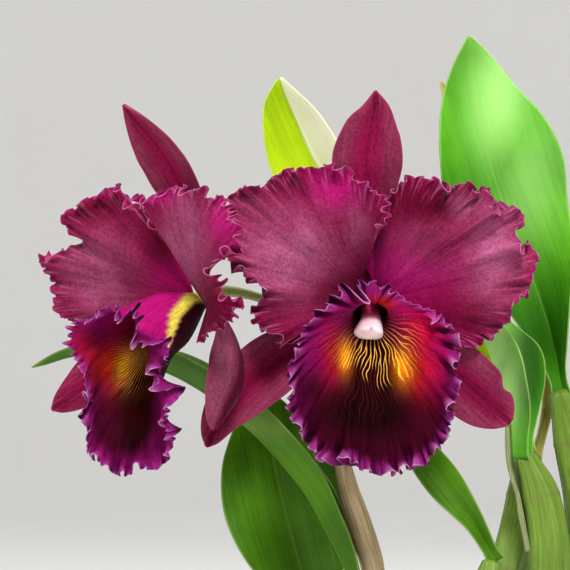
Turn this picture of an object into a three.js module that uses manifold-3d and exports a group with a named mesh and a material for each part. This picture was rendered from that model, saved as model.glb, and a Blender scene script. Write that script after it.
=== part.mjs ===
// A cattleya orchid in a plain pot, with two open blooms on one stalk.
// Millimetres, +Z up. The origin is the middle of the pot's base and the blooms open towards -Y.
import * as THREE from "three";
import { mergeVertices } from "three/addons/utils/BufferGeometryUtils.js";
import Module from "manifold-3d";

const wasm = await Module();
wasm.setup();

// Driving dimensions.
const POT_HEIGHT = 120;
const POT_RIM_RADIUS = 75;
const POT_FOOT_RADIUS = 50;
const POT_WALL = 5;
const POT_FLOOR = 7;
const POT_BAND_HEIGHT = 24;
const POT_BAND_STEP = 4;
const POT_SIDES = 32;
const BARK_LEVEL = 107;
const BARK_CHUNKS = 24;
const GAP = 0.3; // clearance between neighbouring pieces
const PETAL_THICKNESS = 0.8;
const SEPAL_THICKNESS = 1.2;
const LIP_THICKNESS = 0.7;
const LEAF_THICKNESS = 1.6;
const SHEATH_THICKNESS = 0.7;
const STALK_RADIUS = 2.6;
const FRONT_BLOOM = [-35, 30, 352]; // where the floral parts of each bloom meet
const LEFT_BLOOM = [-120, 12, 350];

// ---------------------------------------------------------------------------------- small helpers

const v3 = (p) => new THREE.Vector3(p[0], p[1], p[2]);
const mix = (a, b, t) => a + (b - a) * t;
const smooth = (a, b, x) => {
  const t = Math.min(Math.max((x - a) / (b - a), 0), 1);
  return t * t * (3 - 2 * t);
};

// A curve through points given relative to an origin.
function curveThrough(points, origin = [0, 0, 0]) {
  const curve = new THREE.CatmullRomCurve3(points.map((p) => v3(p).add(v3(origin))));
  curve.arcLengthDivisions = 600;
  return curve;
}

// A smooth value read from [position, value] pairs.
function profile(pairs, t) {
  const last = pairs.length - 1;
  let i = 0;
  while (i < last - 1 && t > pairs[i + 1][0]) i++;
  const slope = (j) => {
    const a = pairs[Math.max(j - 1, 0)];
    const b = pairs[Math.min(j + 1, last)];
    return (b[1] - a[1]) / (b[0] - a[0]);
  };
  const [t0, from] = pairs[i];
  const [t1, to] = pairs[i + 1];
  const h = t1 - t0;
  const s = Math.min(Math.max((t - t0) / h, 0), 1);
  const a = s * s * (3 - 2 * s);
  return (
    from * (1 - a) + to * a + h * s * (1 - s) * ((1 - s) * slope(i) - s * slope(i + 1))
  );
}

// A direction read from [position, direction] pairs.
function heading(pairs, t) {
  const value = (k) => profile(pairs.map(([at, d]) => [at, d[k]]), t);
  return pairs.length === 1 ? v3(pairs[0][1]) : new THREE.Vector3(value(0), value(1), value(2));
}

function seededRandom(seed) {
  let state = seed;
  return () => {
    state = (state * 1664525 + 1013904223) % 4294967296;
    return state / 4294967296;
  };
}

// --------------------------------------------------------------------------- surfaces and solids

// The points and triangles of surface(u, t), in rows [t, segments] that may differ in count.
function netOf(surface, rows) {
  const points = [];
  const starts = rows.map(([t, n]) => {
    const start = points.length;
    for (let i = 0; i <= n; i++) points.push(surface(i / n, t));
    return start;
  });
  const faces = [];
  for (let r = 0; r + 1 < rows.length; r++) {
    const [, m] = rows[r];
    const [, n] = rows[r + 1];
    let i = 0;
    let j = 0;
    while (i < m || j < n) {
      const a = starts[r] + i;
      const b = starts[r + 1] + j;
      if (j === n || (i < m && (i + 1) * n <= (j + 1) * m - 1e-9)) {
        faces.push([a, a + 1, b]);
        i++;
      } else if (i === m || (i + 1) * n > (j + 1) * m + 1e-9) {
        faces.push([a, b + 1, b]);
        j++;
      } else {
        faces.push(r % 2 ? [a, a + 1, b] : [a, b + 1, b]);
        faces.push(r % 2 ? [a + 1, b + 1, b] : [a, a + 1, b + 1]);
        i++;
        j++;
      }
    }
  }
  return { points, faces };
}

function geometryOf(points, faces) {
  const g = new THREE.BufferGeometry();
  g.setAttribute("position", new THREE.Float32BufferAttribute(points.flatMap((p) => [p.x, p.y, p.z]), 3));
  g.setIndex(faces.flat());
  return g;
}

// A thin body: the net moved half a thickness to both sides, split alike, and closed at its edges.
function thinBody({ points, faces }, thickness) {
  const normals = points.map(() => new THREE.Vector3());
  const edges = new Map();
  for (const f of faces) {
    const [a, b, c] = f.map((k) => points[k]);
    const n = b.clone().sub(a).cross(c.clone().sub(a)).normalize();
    f.forEach((k, i) => {
      const to = points[f[(i + 1) % 3]].clone().sub(points[k]);
      const back = points[f[(i + 2) % 3]].clone().sub(points[k]);
      normals[k].addScaledVector(n, to.angleTo(back));
      edges.set(k + "_" + f[(i + 1) % 3], [k, f[(i + 1) % 3]]);
    });
  }
  const count = points.length;
  const half = typeof thickness === "function" ? thickness : () => thickness / 2;
  const shifted = (side) =>
    points.map((p, i) => p.clone().addScaledVector(normals[i].normalize(), side * half(i)));
  const all = [...shifted(1), ...shifted(-1)];
  const skin = faces.map(([a, b, c]) => [a, b, c]);
  for (const [a, b, c] of faces) skin.push([a + count, c + count, b + count]);
  for (const [a, b] of edges.values()) {
    if (edges.has(b + "_" + a)) continue;
    skin.push([a, a + count, b + count], [a, b + count, b]);
  }
  return outward(geometryOf(all, skin));
}

// The same body with its faces looking out.
function outward(g) {
  const p = g.getAttribute("position");
  const at = (i) => new THREE.Vector3().fromBufferAttribute(p, g.index.getX(i));
  let volume = 0;
  for (let i = 0; i < g.index.count; i += 3) volume += at(i).dot(at(i + 1).cross(at(i + 2)));
  if (volume < 0) {
    for (let i = 0; i < g.index.count; i += 3) {
      const b = g.index.getX(i + 1);
      g.index.setX(i + 1, g.index.getX(i + 2));
      g.index.setX(i + 2, b);
    }
  }
  return g;
}

// A closed body swept along a path. radii(t, angle) gives its radius; stretch widens one way.
function sweptBody({ path, rows, sides, radii, reference = [0, -1, 0], stretch = 1, grow = 0 }) {
  const points = [];
  const faces = [];
  const ref = v3(reference);
  for (const t of rows) {
    const at = path.getPointAt(t);
    const along = path.getTangentAt(t);
    const side = along.clone().cross(ref).normalize();
    const front = side.clone().cross(along).normalize();
    for (let k = 0; k < sides; k++) {
      const angle = (2 * Math.PI * k) / sides;
      const r = radii(t, angle) + grow;
      points.push(
        at
          .clone()
          .addScaledVector(side, r * stretch * Math.cos(angle))
          .addScaledVector(front, r * Math.sin(angle)),
      );
    }
  }
  const ring = (r, k) => r * sides + (k % sides);
  for (let r = 0; r + 1 < rows.length; r++) {
    for (let k = 0; k < sides; k++) {
      faces.push([ring(r, k), ring(r, k + 1), ring(r + 1, k + 1)]);
      faces.push([ring(r, k), ring(r + 1, k + 1), ring(r + 1, k)]);
    }
  }
  points.push(path.getPointAt(0), path.getPointAt(1));
  for (let k = 0; k < sides; k++) {
    faces.push([points.length - 2, ring(0, k + 1), ring(0, k)]);
    faces.push([points.length - 1, ring(rows.length - 1, k), ring(rows.length - 1, k + 1)]);
  }
  return outward(geometryOf(points, faces));
}

const evenRows = (n) => Array.from({ length: n + 1 }, (_, i) => i / n);

function solidOf(geometry) {
  const bare = new THREE.BufferGeometry();
  bare.setAttribute("position", geometry.getAttribute("position"));
  if (geometry.index) bare.setIndex(geometry.index);
  const merged = mergeVertices(bare, 1e-4);
  return new wasm.Manifold(
    new wasm.Mesh({
      numProp: 3,
      vertProperties: new Float32Array(merged.getAttribute("position").array),
      triVerts: new Uint32Array(merged.index.array),
    }),
  );
}

function geometryFrom(solid) {
  const m = solid.getMesh();
  const g = new THREE.BufferGeometry();
  g.setAttribute("position", new THREE.BufferAttribute(new Float32Array(m.vertProperties), 3));
  g.setIndex(new THREE.BufferAttribute(new Uint32Array(m.triVerts), 1));
  return g;
}

// ------------------------------------------------------------------------------------- materials

const finish = (color, roughness) => () =>
  new THREE.MeshStandardMaterial({ color, roughness, metalness: 0, side: THREE.DoubleSide });
const TERRACOTTA = finish("#b5633f", 0.85);
const BARK = finish("#5b3a26", 0.9);
const ROOT = finish("#c9c4ad", 0.7);
const BULB = finish("#8fae4c", 0.5);
const LEAF = finish("#4f8f1f", 0.4);
const YOUNG_LEAF = finish("#b9d63c", 0.4);
const DRY_SHEATH = finish("#b7a07c", 0.8);
const PALE_SHEATH = finish("#b4c58a", 0.7);
const STALK = finish("#7f9a45", 0.5);
const SEPAL = finish("#8e1038", 0.55);
const PETAL = finish("#9a1560", 0.6);
const LIP = finish("#7a0a52", 0.6);
const COLUMN = finish("#f0c3cb", 0.45);

const orchid = new THREE.Group();
orchid.name = "cattleya_orchid";

function place(name, geometry, material) {
  const mesh = new THREE.Mesh(geometry, material());
  mesh.name = name;
  orchid.add(mesh);
}

// ------------------------------------------------------------------------------------------- pot

function pot() {
  const band = POT_HEIGHT - POT_BAND_HEIGHT;
  const underBand = POT_RIM_RADIUS - POT_BAND_STEP;
  const slope = (underBand - POT_FOOT_RADIUS) / band;
  const inner = (z) => POT_FOOT_RADIUS - POT_WALL + slope * z;
  const outline = [
    [0, 0],
    [POT_FOOT_RADIUS - 3, 0],
    [POT_FOOT_RADIUS, 2.5],
    [underBand - 1, band - 1.5],
    [POT_RIM_RADIUS - 1.5, band],
    [POT_RIM_RADIUS - 0.5, band + 3],
    [POT_RIM_RADIUS, POT_HEIGHT - 3],
    [POT_RIM_RADIUS - 2, POT_HEIGHT],
    [inner(POT_HEIGHT) + 1.5, POT_HEIGHT],
    [inner(POT_HEIGHT), POT_HEIGHT - 2],
    [inner(POT_FLOOR) + 1, POT_FLOOR + 4],
    [inner(POT_FLOOR) - 4, POT_FLOOR],
    [0, POT_FLOOR],
  ].map(([r, z]) => new THREE.Vector2(r, z));
  const turned = new THREE.LatheGeometry(outline, POT_SIDES);
  turned.rotateX(Math.PI / 2);
  turned.deleteAttribute("normal").deleteAttribute("uv");
  return geometryFrom(solidOf(outward(mergeVertices(turned, 1e-4))));
}

// ------------------------------------------------------------------- rhizome, roots, pseudobulbs

const RHIZOME = curveThrough([
  [-46, -18, 111],
  [-30, -6, 112.5],
  [-8, -2, 112],
  [12, 8, 112.5],
  [30, 24, 112],
  [43, 38, 112.5],
  [49, 43, 110],
]);
const ROOTS = [
  [[-30, -8, 111], [-34, -26, 113], [-26, -44, 111], [-22, -54, 100]],
  [[-12, -4, 111], [-6, -22, 115], [6, -38, 112], [16, -50, 102]],
  [[-36, -10, 111], [-52, -4, 113], [-60, 12, 109], [-58, 22, 98]],
  [[2, 2, 111], [-4, 20, 114], [-20, 34, 111], [-28, 44, 100]],
  [[20, 16, 111], [36, 2, 114], [50, -12, 111], [56, -20, 99]],
  [[34, 30, 111], [18, 42, 114], [6, 54, 109], [2, 60, 98]],
];

// Swollen stems, each a spindle with shallow lengthwise ribs. tip is the share of radius at its top.
const BULBS = {
  pseudobulb_a: {
    path: [[-14, -3, 115], [-25, 2, 142], [-33, 10, 170], [-35, 19, 194]],
    radius: 10.5,
    tip: 0.76,
  },
  pseudobulb_b: {
    path: [[26, 21, 114], [48, 28, 160], [59, 34, 212], [55, 38, 249], [43.5, 40, 270]],
    radius: 10,
  },
  pseudobulb_c: {
    path: [[15, 11, 115], [20, 40, 160], [36, 66, 220], [47, 76, 269]],
    radius: 9.5,
    tip: 0.64,
  },
  pseudobulb_d: { path: [[2, 2, 115], [8, -2, 150], [19, 4, 185], [27, 10, 219]], radius: 8.5 },
  pseudobulb_e: {
    path: [[40, 35, 114], [70, 48, 165], [88, 57, 222], [80, 60, 272], [68, 60, 303]],
    radius: 11.5,
  },
  pseudobulb_g: { path: [[-35, -10, 114], [-54, 6, 128], [-64, 30, 148], [-61, 49, 171]], radius: 10.5 },
};
const BULB_RIBS = 5;

function bulb({ path, radius, tip = 0.5 }, grow = 0) {
  const along = curveThrough(path);
  const girth = [
    [0, 0.32], [0.12, 0.42], [0.35, 0.72], [0.65, 1], [0.86, 0.88], [0.96, tip + 0.1], [1, tip],
  ];
  return sweptBody({
    path: along,
    rows: evenRows(11),
    sides: 10,
    radii: (t, angle) => radius * profile(girth, t) * (1 + 0.09 * Math.cos(BULB_RIBS * angle)),
    stretch: 1.12,
    grow,
  });
}

function rhizome() {
  const stem = sweptBody({
    path: RHIZOME,
    rows: evenRows(10),
    sides: 8,
    radii: (t) => 5.6 * Math.min(1, 0.45 + 9 * t * (1 - t)) * (1 + 0.08 * Math.cos(60 * t)),
    reference: [0, 0, 1],
  });
  const grown = ROOTS.map((points) =>
    sweptBody({
      path: curveThrough(points),
      rows: evenRows(6),
      sides: 5,
      radii: (t) => mix(1.9, 1.3, t),
      reference: [0, 0, 1],
    }),
  );
  let whole = solidOf(stem);
  for (const g of grown) whole = whole.add(solidOf(g));
  for (const b of Object.values(BULBS)) whole = whole.subtract(solidOf(bulb(b, GAP)));
  return whole;
}

// The rhizome and roots with their clearance, which the bark makes way for.
function rhizomeRoom() {
  let room = solidOf(
    sweptBody({
      path: RHIZOME,
      rows: evenRows(10),
      sides: 8,
      radii: (t) => 5.6 * Math.min(1, 0.45 + 9 * t * (1 - t)) * (1 + 0.08 * Math.cos(60 * t)),
      reference: [0, 0, 1],
      grow: 0.5,
    }),
  );
  for (const points of ROOTS) {
    room = room.add(
      solidOf(
        sweptBody({
          path: curveThrough(points),
          rows: evenRows(6),
          sides: 5,
          radii: (t) => mix(1.9, 1.3, t),
          reference: [0, 0, 1],
          grow: 0.5,
        }),
      ),
    );
  }
  for (const b of Object.values(BULBS)) room = room.add(solidOf(bulb(b, 0.5)));
  return room;
}

// ------------------------------------------------------------------------------------------ bark

function bark() {
  const inner = (z) => POT_FOOT_RADIUS - POT_WALL - GAP + (21 / 96) * z;
  const profilePoints = [
    [0, POT_FLOOR + GAP],
    [inner(POT_FLOOR) - 5, POT_FLOOR + GAP],
    [inner(POT_FLOOR) - 1, POT_FLOOR + 5],
    [inner(BARK_LEVEL - 5) - 0.6, BARK_LEVEL - 5],
    [inner(BARK_LEVEL) - 3, BARK_LEVEL - 2],
    [34, BARK_LEVEL + 1],
    [0, BARK_LEVEL + 2],
  ].map(([r, z]) => new THREE.Vector2(r, z));
  const core = new THREE.LatheGeometry(profilePoints, 24);
  core.rotateX(Math.PI / 2);
  core.deleteAttribute("normal").deleteAttribute("uv");
  let whole = solidOf(outward(mergeVertices(core, 1e-4)));
  const random = seededRandom(20);
  for (let i = 0; i < BARK_CHUNKS; i++) {
    const angle = i * 2.39996;
    const reach = 54 * Math.sqrt((i + 0.5) / BARK_CHUNKS);
    const size = [mix(14, 22, random()), mix(10, 15, random()), mix(6, 9, random())];
    const chunk = new THREE.BoxGeometry(...size).deleteAttribute("normal").deleteAttribute("uv");
    const corner = chunk.getAttribute("position");
    for (let k = 0; k < corner.count; k++) {
      const taper = corner.getX(k) > 0 ? 0.72 : 1;
      corner.setY(k, corner.getY(k) * taper);
      corner.setZ(k, corner.getZ(k) * (corner.getY(k) > 0 ? 0.8 : 1));
    }
    chunk.rotateX((random() - 0.5) * 0.9);
    chunk.rotateY((random() - 0.5) * 0.9);
    chunk.rotateZ(random() * Math.PI);
    chunk.translate(reach * Math.cos(angle), reach * Math.sin(angle), BARK_LEVEL + mix(-1, 2, random()));
    whole = whole.add(solidOf(chunk));
  }
  return whole.subtract(rhizomeRoom());
}

// ---------------------------------------------------------------------------- leaves and sepals

// A blade: x runs -1..1 across, t runs from its foot to its tip. fold raises both halves.
function bladeSurface({ spine, origin, face, width, fold, wave = 0, waves = 3, seed = 0 }) {
  const path = curveThrough(spine, origin);
  return (u, t) => {
    const x = 2 * u - 1;
    const along = path.getTangentAt(t);
    const towards = heading(face, t);
    towards.addScaledVector(along, -towards.dot(along)).normalize();
    const side = along.clone().cross(towards);
    const w = profile(width, t);
    const angle = (profile(fold, t) * Math.PI) / 180;
    const rise = (Math.sqrt(x * x + 0.015) - Math.sqrt(0.015)) * Math.sin(angle);
    const beat = Math.sin(waves * 2 * Math.PI * t + seed + (x > 0 ? 2 : 0));
    const ripple = wave * smooth(0.3, 1, Math.abs(x)) * beat;
    return path
      .getPointAt(t)
      .addScaledVector(side, x * w * Math.cos(angle))
      .addScaledVector(towards, w * rise + ripple * Math.sin(Math.PI * t));
  };
}

function blade(shape, thickness, rows = 12, across = 4) {
  const net = evenRows(rows).map((s, i) => [1 - (1 - s) ** 1.3, i === rows ? 2 : across]);
  return thinBody(netOf(bladeSurface(shape), net), thickness);
}

const LEAVES = {
  leaf_a: {
    material: LEAF,
    spine: [
      [-39, 15.2, 196],
      [-48, 22, 217],
      [-57, 28, 234],
      [-66, 34, 250],
      [-78, 38, 265],
      [-89, 42, 277],
      [-101, 45, 288],
      [-119, 50, 302],
      [-140, 55, 313],
      [-164, 59, 320],
      [-188, 62, 321],
      [-211, 64, 314],
    ],
    face: [[0, [0.8, 0, 0.4]], [0.3, [0.76, 0.05, 0.65]], [0.6, [0.45, 0, 0.88]], [1, [-0.3, 0, 0.95]]],
    width: [
      [0, 4], [0.08, 7.5], [0.18, 14], [0.3, 18.5], [0.6, 18.5], [0.78, 14], [0.9, 8.5], [0.96, 5], [1, 0.8],
    ],
    fold: [[0, 58], [0.2, 52], [0.6, 48], [1, 30]],
    wave: 0.6,
  },
  leaf_b: {
    material: LEAF,
    spine: [
      [42.6, 40.6, 272],
      [42, 42, 285],
      [37, 43, 300],
      [31, 43.5, 319],
      [24, 44, 337],
      [12.5, 41, 358],
      [2.5, 40, 378],
      [-5, 41, 395],
      [-9, 42, 407],
    ],
    face: [
      [0, [0.9, -0.3, 0.1]], [0.2, [0.9, -0.42, 0.2]], [0.5, [0.9, -0.42, 0.25]],
      [1, [0.6, -0.6, 0.3]],
    ],
    width: [
      [0, 4.5], [0.09, 11], [0.22, 24], [0.34, 26], [0.47, 17], [0.6, 12], [0.75, 10.5], [0.88, 8],
      [0.96, 4.5], [1, 0.8],
    ],
    fold: [[0, 62], [0.2, 58], [0.45, 55], [1, 30]],
    wave: 1,
  },
  leaf_c: {
    material: YOUNG_LEAF,
    spine: [
      [46.2, 74, 271.3],
      [41, 84, 296],
      [24, 92, 324],
      [-4, 98, 353],
      [-29, 101, 381],
      [-48, 101, 404],
      [-62, 99, 425],
      [-71, 95, 445],
      [-76.5, 90, 458],
      [-80, 84, 468.5],
    ],
    face: [
      [0, [-0.4, -0.85, 0]], [0.5, [-0.3, -0.9, 0]], [0.8, [-0.27, -0.93, -0.1]],
      [1, [-0.27, -0.93, -0.12]],
    ],
    width: [
      [0, 4], [0.1, 9], [0.3, 19], [0.55, 25], [0.72, 26], [0.83, 25], [0.91, 20.5], [0.965, 13],
      [1, 2.5],
    ],
    fold: [[0, 45], [0.4, 34], [1, 38]],
    wave: 1.5,
  },
  leaf_d: {
    material: LEAF,
    spine: [
      [27.3, 9.8, 221.8], [19, 13, 236], [8, 18, 250], [-3, 26, 264], [-13, 35, 277],
      [-22, 45, 290],
    ],
    face: [[0, [-0.4, -0.8, 0.4]], [1, [0.2, -0.85, 0.5]]],
    width: [[0, 3.5], [0.2, 7], [0.5, 10.5], [0.8, 8], [0.94, 4], [1, 0.8]],
    fold: [[0, 50], [0.5, 26], [1, 18]],
  },
  leaf_e: {
    material: LEAF,
    spine: [
      [68.3, 60, 304],
      [65, 62, 323],
      [58, 63, 347],
      [47, 61, 376],
      [36, 57, 402],
      [27, 50, 428],
      [20, 42, 451],
      [17, 32, 470],
      [16, 20, 484],
    ],
    face: [
      [0, [-0.5, -0.8, 0.1]], [0.4, [0.05, -0.95, -0.1]], [0.65, [0.3, -0.9, -0.2]],
      [1, [0.34, -0.9, -0.3]],
    ],
    width: [
      [0, 4], [0.12, 10], [0.3, 22], [0.45, 33], [0.6, 38.5], [0.73, 34], [0.86, 21],
      [0.95, 9.5], [1, 1],
    ],
    fold: [[0, 50], [0.35, 28], [0.7, 28], [1, 20]],
    wave: 1.5,
  },
  leaf_f: {
    material: YOUNG_LEAF,
    spine: [
      [50.2, 79.2, 268],
      [60, 92, 298],
      [60, 104, 332],
      [50, 112, 370],
      [38, 113, 404],
      [22, 107, 438],
      [7, 97, 468],
    ],
    face: [[0, [0.4, -0.9, 0]], [1, [-0.3, -0.9, 0.2]]],
    width: [[0, 3], [0.2, 7], [0.5, 12], [0.8, 9], [0.94, 4.5], [1, 0.8]],
    fold: [[0, 55], [0.5, 35], [1, 25]],
  },
  leaf_g: {
    material: LEAF,
    spine: [
      [-60.4, 51.2, 172.8],
      [-68, 54, 203],
      [-76, 56, 232],
      [-82, 58, 258],
      [-86, 60, 277],
      [-89, 61, 294],
      [-91, 62, 303],
    ],
    face: [[0, [0.3, -0.9, 0.1]], [1, [0.1, -0.95, 0.1]]],
    width: [[0, 4], [0.15, 15], [0.35, 29], [0.55, 34], [0.72, 30], [0.87, 18], [0.96, 8], [1, 0.9]],
    fold: [[0, 48], [0.4, 20], [1, 12]],
    wave: 1,
  },
};

// ----------------------------------------------------------------------------- petals and lips

// The height of a ruffled edge at distance s along it.
function ruffle(s, wavelength, seed) {
  const k = (2 * Math.PI) / wavelength;
  const drift = 1.1 * Math.sin(0.31 * k * s + seed);
  return 0.72 * Math.sin(k * s + seed + drift) + 0.28 * Math.sin(1.7 * k * s + 2.1 * seed + 1);
}

// Adds the ruffle to a smooth surface, growing towards the free edge at t = 1. It is pushed along
// facing, or square to the surface where no facing is given.
function ruffled(flat, length, { height, wavelength, reach, seed, facing, ends = 0.1 }) {
  const step = 0.03;
  return (u, t) => {
    const at = flat(u, t);
    if (t < 0.3) return at;
    const across = flat(Math.min(u + step, 1), t).sub(flat(Math.max(u - step, 0), t));
    const out = flat(u, t).sub(flat(u, t - 0.1)).normalize();
    const normal = facing ? v3(facing).normalize() : across.cross(out).normalize();
    const s = u * length;
    const free = height * smooth(0, ends, u) * smooth(1, 1 - ends, u);
    const fold = Math.sin((2 * Math.PI * s) / (2.6 * wavelength) + 1.7 * seed);
    const notch = 0.4 * Math.pow(t, 8) * ruffle(s, 0.8 * wavelength, seed + 2.3);
    const lift = Math.pow(t, reach) * ruffle(s, wavelength, seed) + 0.75 * Math.pow(t, 3) * fold;
    return at.addScaledVector(normal, free * lift).addScaledVector(out, free * notch);
  };
}

// The edge at u, with its bays filled where keep is under 1.
function easedEdge(rim, u, keep) {
  const even = new THREE.Vector3();
  const step = Math.min(0.03, u / 2, (1 - u) / 2);
  for (const k of [-2, -1, 0, 1, 2]) even.addScaledVector(rim.getPointAt(u + k * step), 0.2);
  return even.lerp(rim.getPointAt(u), keep);
}

// A petal: a fan from a short claw by the column out to its edge, domed along bulge.
function petalSurface({ origin, claw, edge, bulge, ...waves }) {
  const rim = curveThrough(edge, origin);
  const [from, to] = claw.map((p) => v3(p).add(v3(origin)));
  const swell = v3(bulge);
  const flat = (u, t) =>
    from
      .clone()
      .lerp(to, u)
      .lerp(easedEdge(rim, u, smooth(0.4, 1, t)), Math.pow(t, 0.9))
      .addScaledVector(swell, Math.sin(Math.PI * t) * Math.sin(Math.PI * u));
  return ruffled(flat, rim.getLength(), waves);
}

// A lip: a tube wrapped round the column that opens into a throat and spreads to its edge.
function lipSurface({ origin, rings, edge, swell, ...waves }) {
  const rim = curveThrough(edge, origin);
  const throat = 0.42;
  const push = v3(swell);
  const flat = (u, t) => {
    const angle = ((86 - 352 * u) * Math.PI) / 180;
    const through = rings.map(({ centre, axis, up, across, tall }) => {
      const along = v3(axis).normalize();
      const right = v3(up).cross(along).normalize();
      const above = along.clone().cross(right);
      return v3(centre)
        .add(v3(origin))
        .addScaledVector(right, across * Math.cos(angle))
        .addScaledVector(above, tall * Math.sin(angle));
    });
    through.push(easedEdge(rim, u, smooth(0.5, 1, t)));
    const spread = Math.max((t - throat) / (1 - throat), 0);
    const place = t < throat ? (t / throat) * (2 / 3) : 2 / 3 + spread / 3;
    return new THREE.CatmullRomCurve3(through, false, "catmullrom", 0.5)
      .getPoint(place)
      .addScaledVector(push, Math.sin(Math.PI * spread) * smooth(0.08, 0.25, u) * smooth(1, 0.85, u));
  };
  return ruffled(flat, rim.getLength(), waves);
}

const PETAL_ROWS = [[0, 4], [0.12, 6], [0.3, 12], [0.5, 24], [0.72, 44], [0.87, 80], [1, 80]];
const LIP_ROWS = [
  [0, 12], [0.2, 12], [0.42, 20], [0.58, 32], [0.72, 52], [0.84, 80], [0.93, 110], [1, 110],
];

const FRONT = {
  petals: {
    front_petal_left: {
      claw: [[-4.8, 0.5, -4], [-4.8, 0.5, 4]],
      edge: [
        [-20, -18, -12], [-37, -25, -24], [-44, -28, -24], [-50, -30, -21], [-55, -32, -16], [-58, -33, -9],
        [-54, -33, 0], [-59, -34, 7], [-66, -36, 12], [-70, -36, 19], [-74, -34, 30], [-72, -32, 45],
        [-65, -30, 54], [-54, -28, 56], [-44, -26, 63], [-35, -26, 64], [-20, -28, 66], [-9, -30, 62],
        [1, -33, 55], [5, -38, 48], [6, -40, 39], [2, -33, 28],
      ],
      bulge: [0, -5, 0],
      facing: [0.25, -1, -0.1],
      height: 1.7,
      wavelength: 13,
      reach: 5,
      seed: 1.2,
    },
    front_petal_right: {
      claw: [[4.8, 0.5, 3.4], [4.8, 0.5, -3.4]],
      edge: [
        [-4, -8, 20], [-3, -13, 35], [3, -20, 46], [11, -28, 51], [16, -30, 56], [27, -33, 60],
        [35, -30, 58], [43, -25, 56], [50, -26, 57], [51, -32, 52], [57, -28, 54], [62, -28, 51],
        [62, -38, 42], [69, -30, 45], [78, -26, 41], [74, -30, 34], [74, -34, 27], [85, -26, 20],
        [83, -25, 11], [79, -27, 2], [73, -33, -4], [72, -30, -10], [65, -26, -18], [55, -22, -25],
        [43, -18, -27],
      ],
      bulge: [0, -5, 0],
      facing: [-0.25, -1, -0.1],
      height: 1.7,
      wavelength: 13,
      reach: 5,
      seed: 3.1,
    },
  },
  sepals: {
    front_sepal_dorsal: {
      spine: [
        [0, 2.2, 5.2], [0, -4, 28], [-1, -9, 54], [-1, -14, 69], [1, -19, 84], [3, -22, 94],
        [3, -25, 103],
      ],
      face: [[0, [0, -1, 0]], [1, [0.05, -0.95, -0.2]]],
      width: [[0, 3], [0.25, 10], [0.5, 16], [0.65, 18.5], [0.8, 15], [0.92, 7.5], [1, 0.8]],
      fold: [[0, 24], [1, 10]],
    },
    front_sepal_left: {
      spine: [
        [-3.4, 2.9, -3.8], [-25, -2, -20], [-46, -7, -33], [-62, -12, -46], [-75, -17, -61],
        [-82, -22, -76],
      ],
      face: [[0, [0, -1, 0]], [1, [0.2, -0.9, 0.2]]],
      width: [[0, 2.6], [0.1, 4.5], [0.28, 11], [0.5, 16.5], [0.7, 15], [0.88, 9], [0.96, 5], [1, 0.9]],
      fold: [[0, 5], [0.35, 18], [1, 8]],
    },
    front_sepal_right: {
      spine: [
        [3.4, 2.9, -3.8], [21, -2, -19], [37, -9, -33], [50, -14, -45], [61, -18, -55],
        [71, -21, -64],
      ],
      face: [[0, [0, -1, 0]], [1, [-0.1, -0.95, 0.1]]],
      width: [
        [0, 2.6], [0.1, 4.5], [0.28, 11], [0.5, 16], [0.7, 17], [0.85, 14.5], [0.95, 8.5],
        [1, 2.5],
      ],
      fold: [[0, 5], [0.35, 18], [1, 6]],
      wave: 1.5,
      waves: 2.5,
    },
  },
  lip: {
    rings: [
      { centre: [0, -1.7, 0], axis: [0, -1, 0], up: [0, 0, 1], across: 4.6, tall: 4.6 },
      { centre: [0, -25, -3], axis: [0, -1, -0.1], up: [0, 0, 1], across: 10.5, tall: 10 },
      { centre: [-1, -42, -12], axis: [0, -0.9, -0.4], up: [0, 0, 1], across: 18, tall: 16 },
    ],
    edge: [
      [13, -52, 1], [25, -56, -6], [33, -55, -8], [39, -53, -14], [43, -52, -24],
      [42, -55, -33], [43, -55, -43], [40, -57, -52], [39, -56, -62], [35, -57, -72], [28, -58, -80],
      [19, -58, -85], [7, -57, -88], [-5, -60, -84], [-15, -63, -81], [-23, -57, -81], [-31, -56, -75],
      [-37, -54, -65], [-41, -53, -53], [-41, -55, -41], [-38, -56, -28], [-34, -57, -16], [-27, -57, -7],
      [-19, -57, -1], [-11, -56, 3], [-6, -53, 5],
    ],
    swell: [0, -5, 0],
    height: 2.5,
    ends: 0.28,
    wavelength: 11,
    reach: 4,
    seed: 0.7,
  },
  column: {
    path: [[0, -0.5, 0], [0, -14, -1.5], [0.3, -27, -4], [0, -36.5, -10], [-1.5, -41.5, -18]],
    radius: [[0, 3.4], [0.4, 3.6], [0.7, 4.8], [0.9, 6.2], [0.97, 5], [1, 3]],
  },
};

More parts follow.
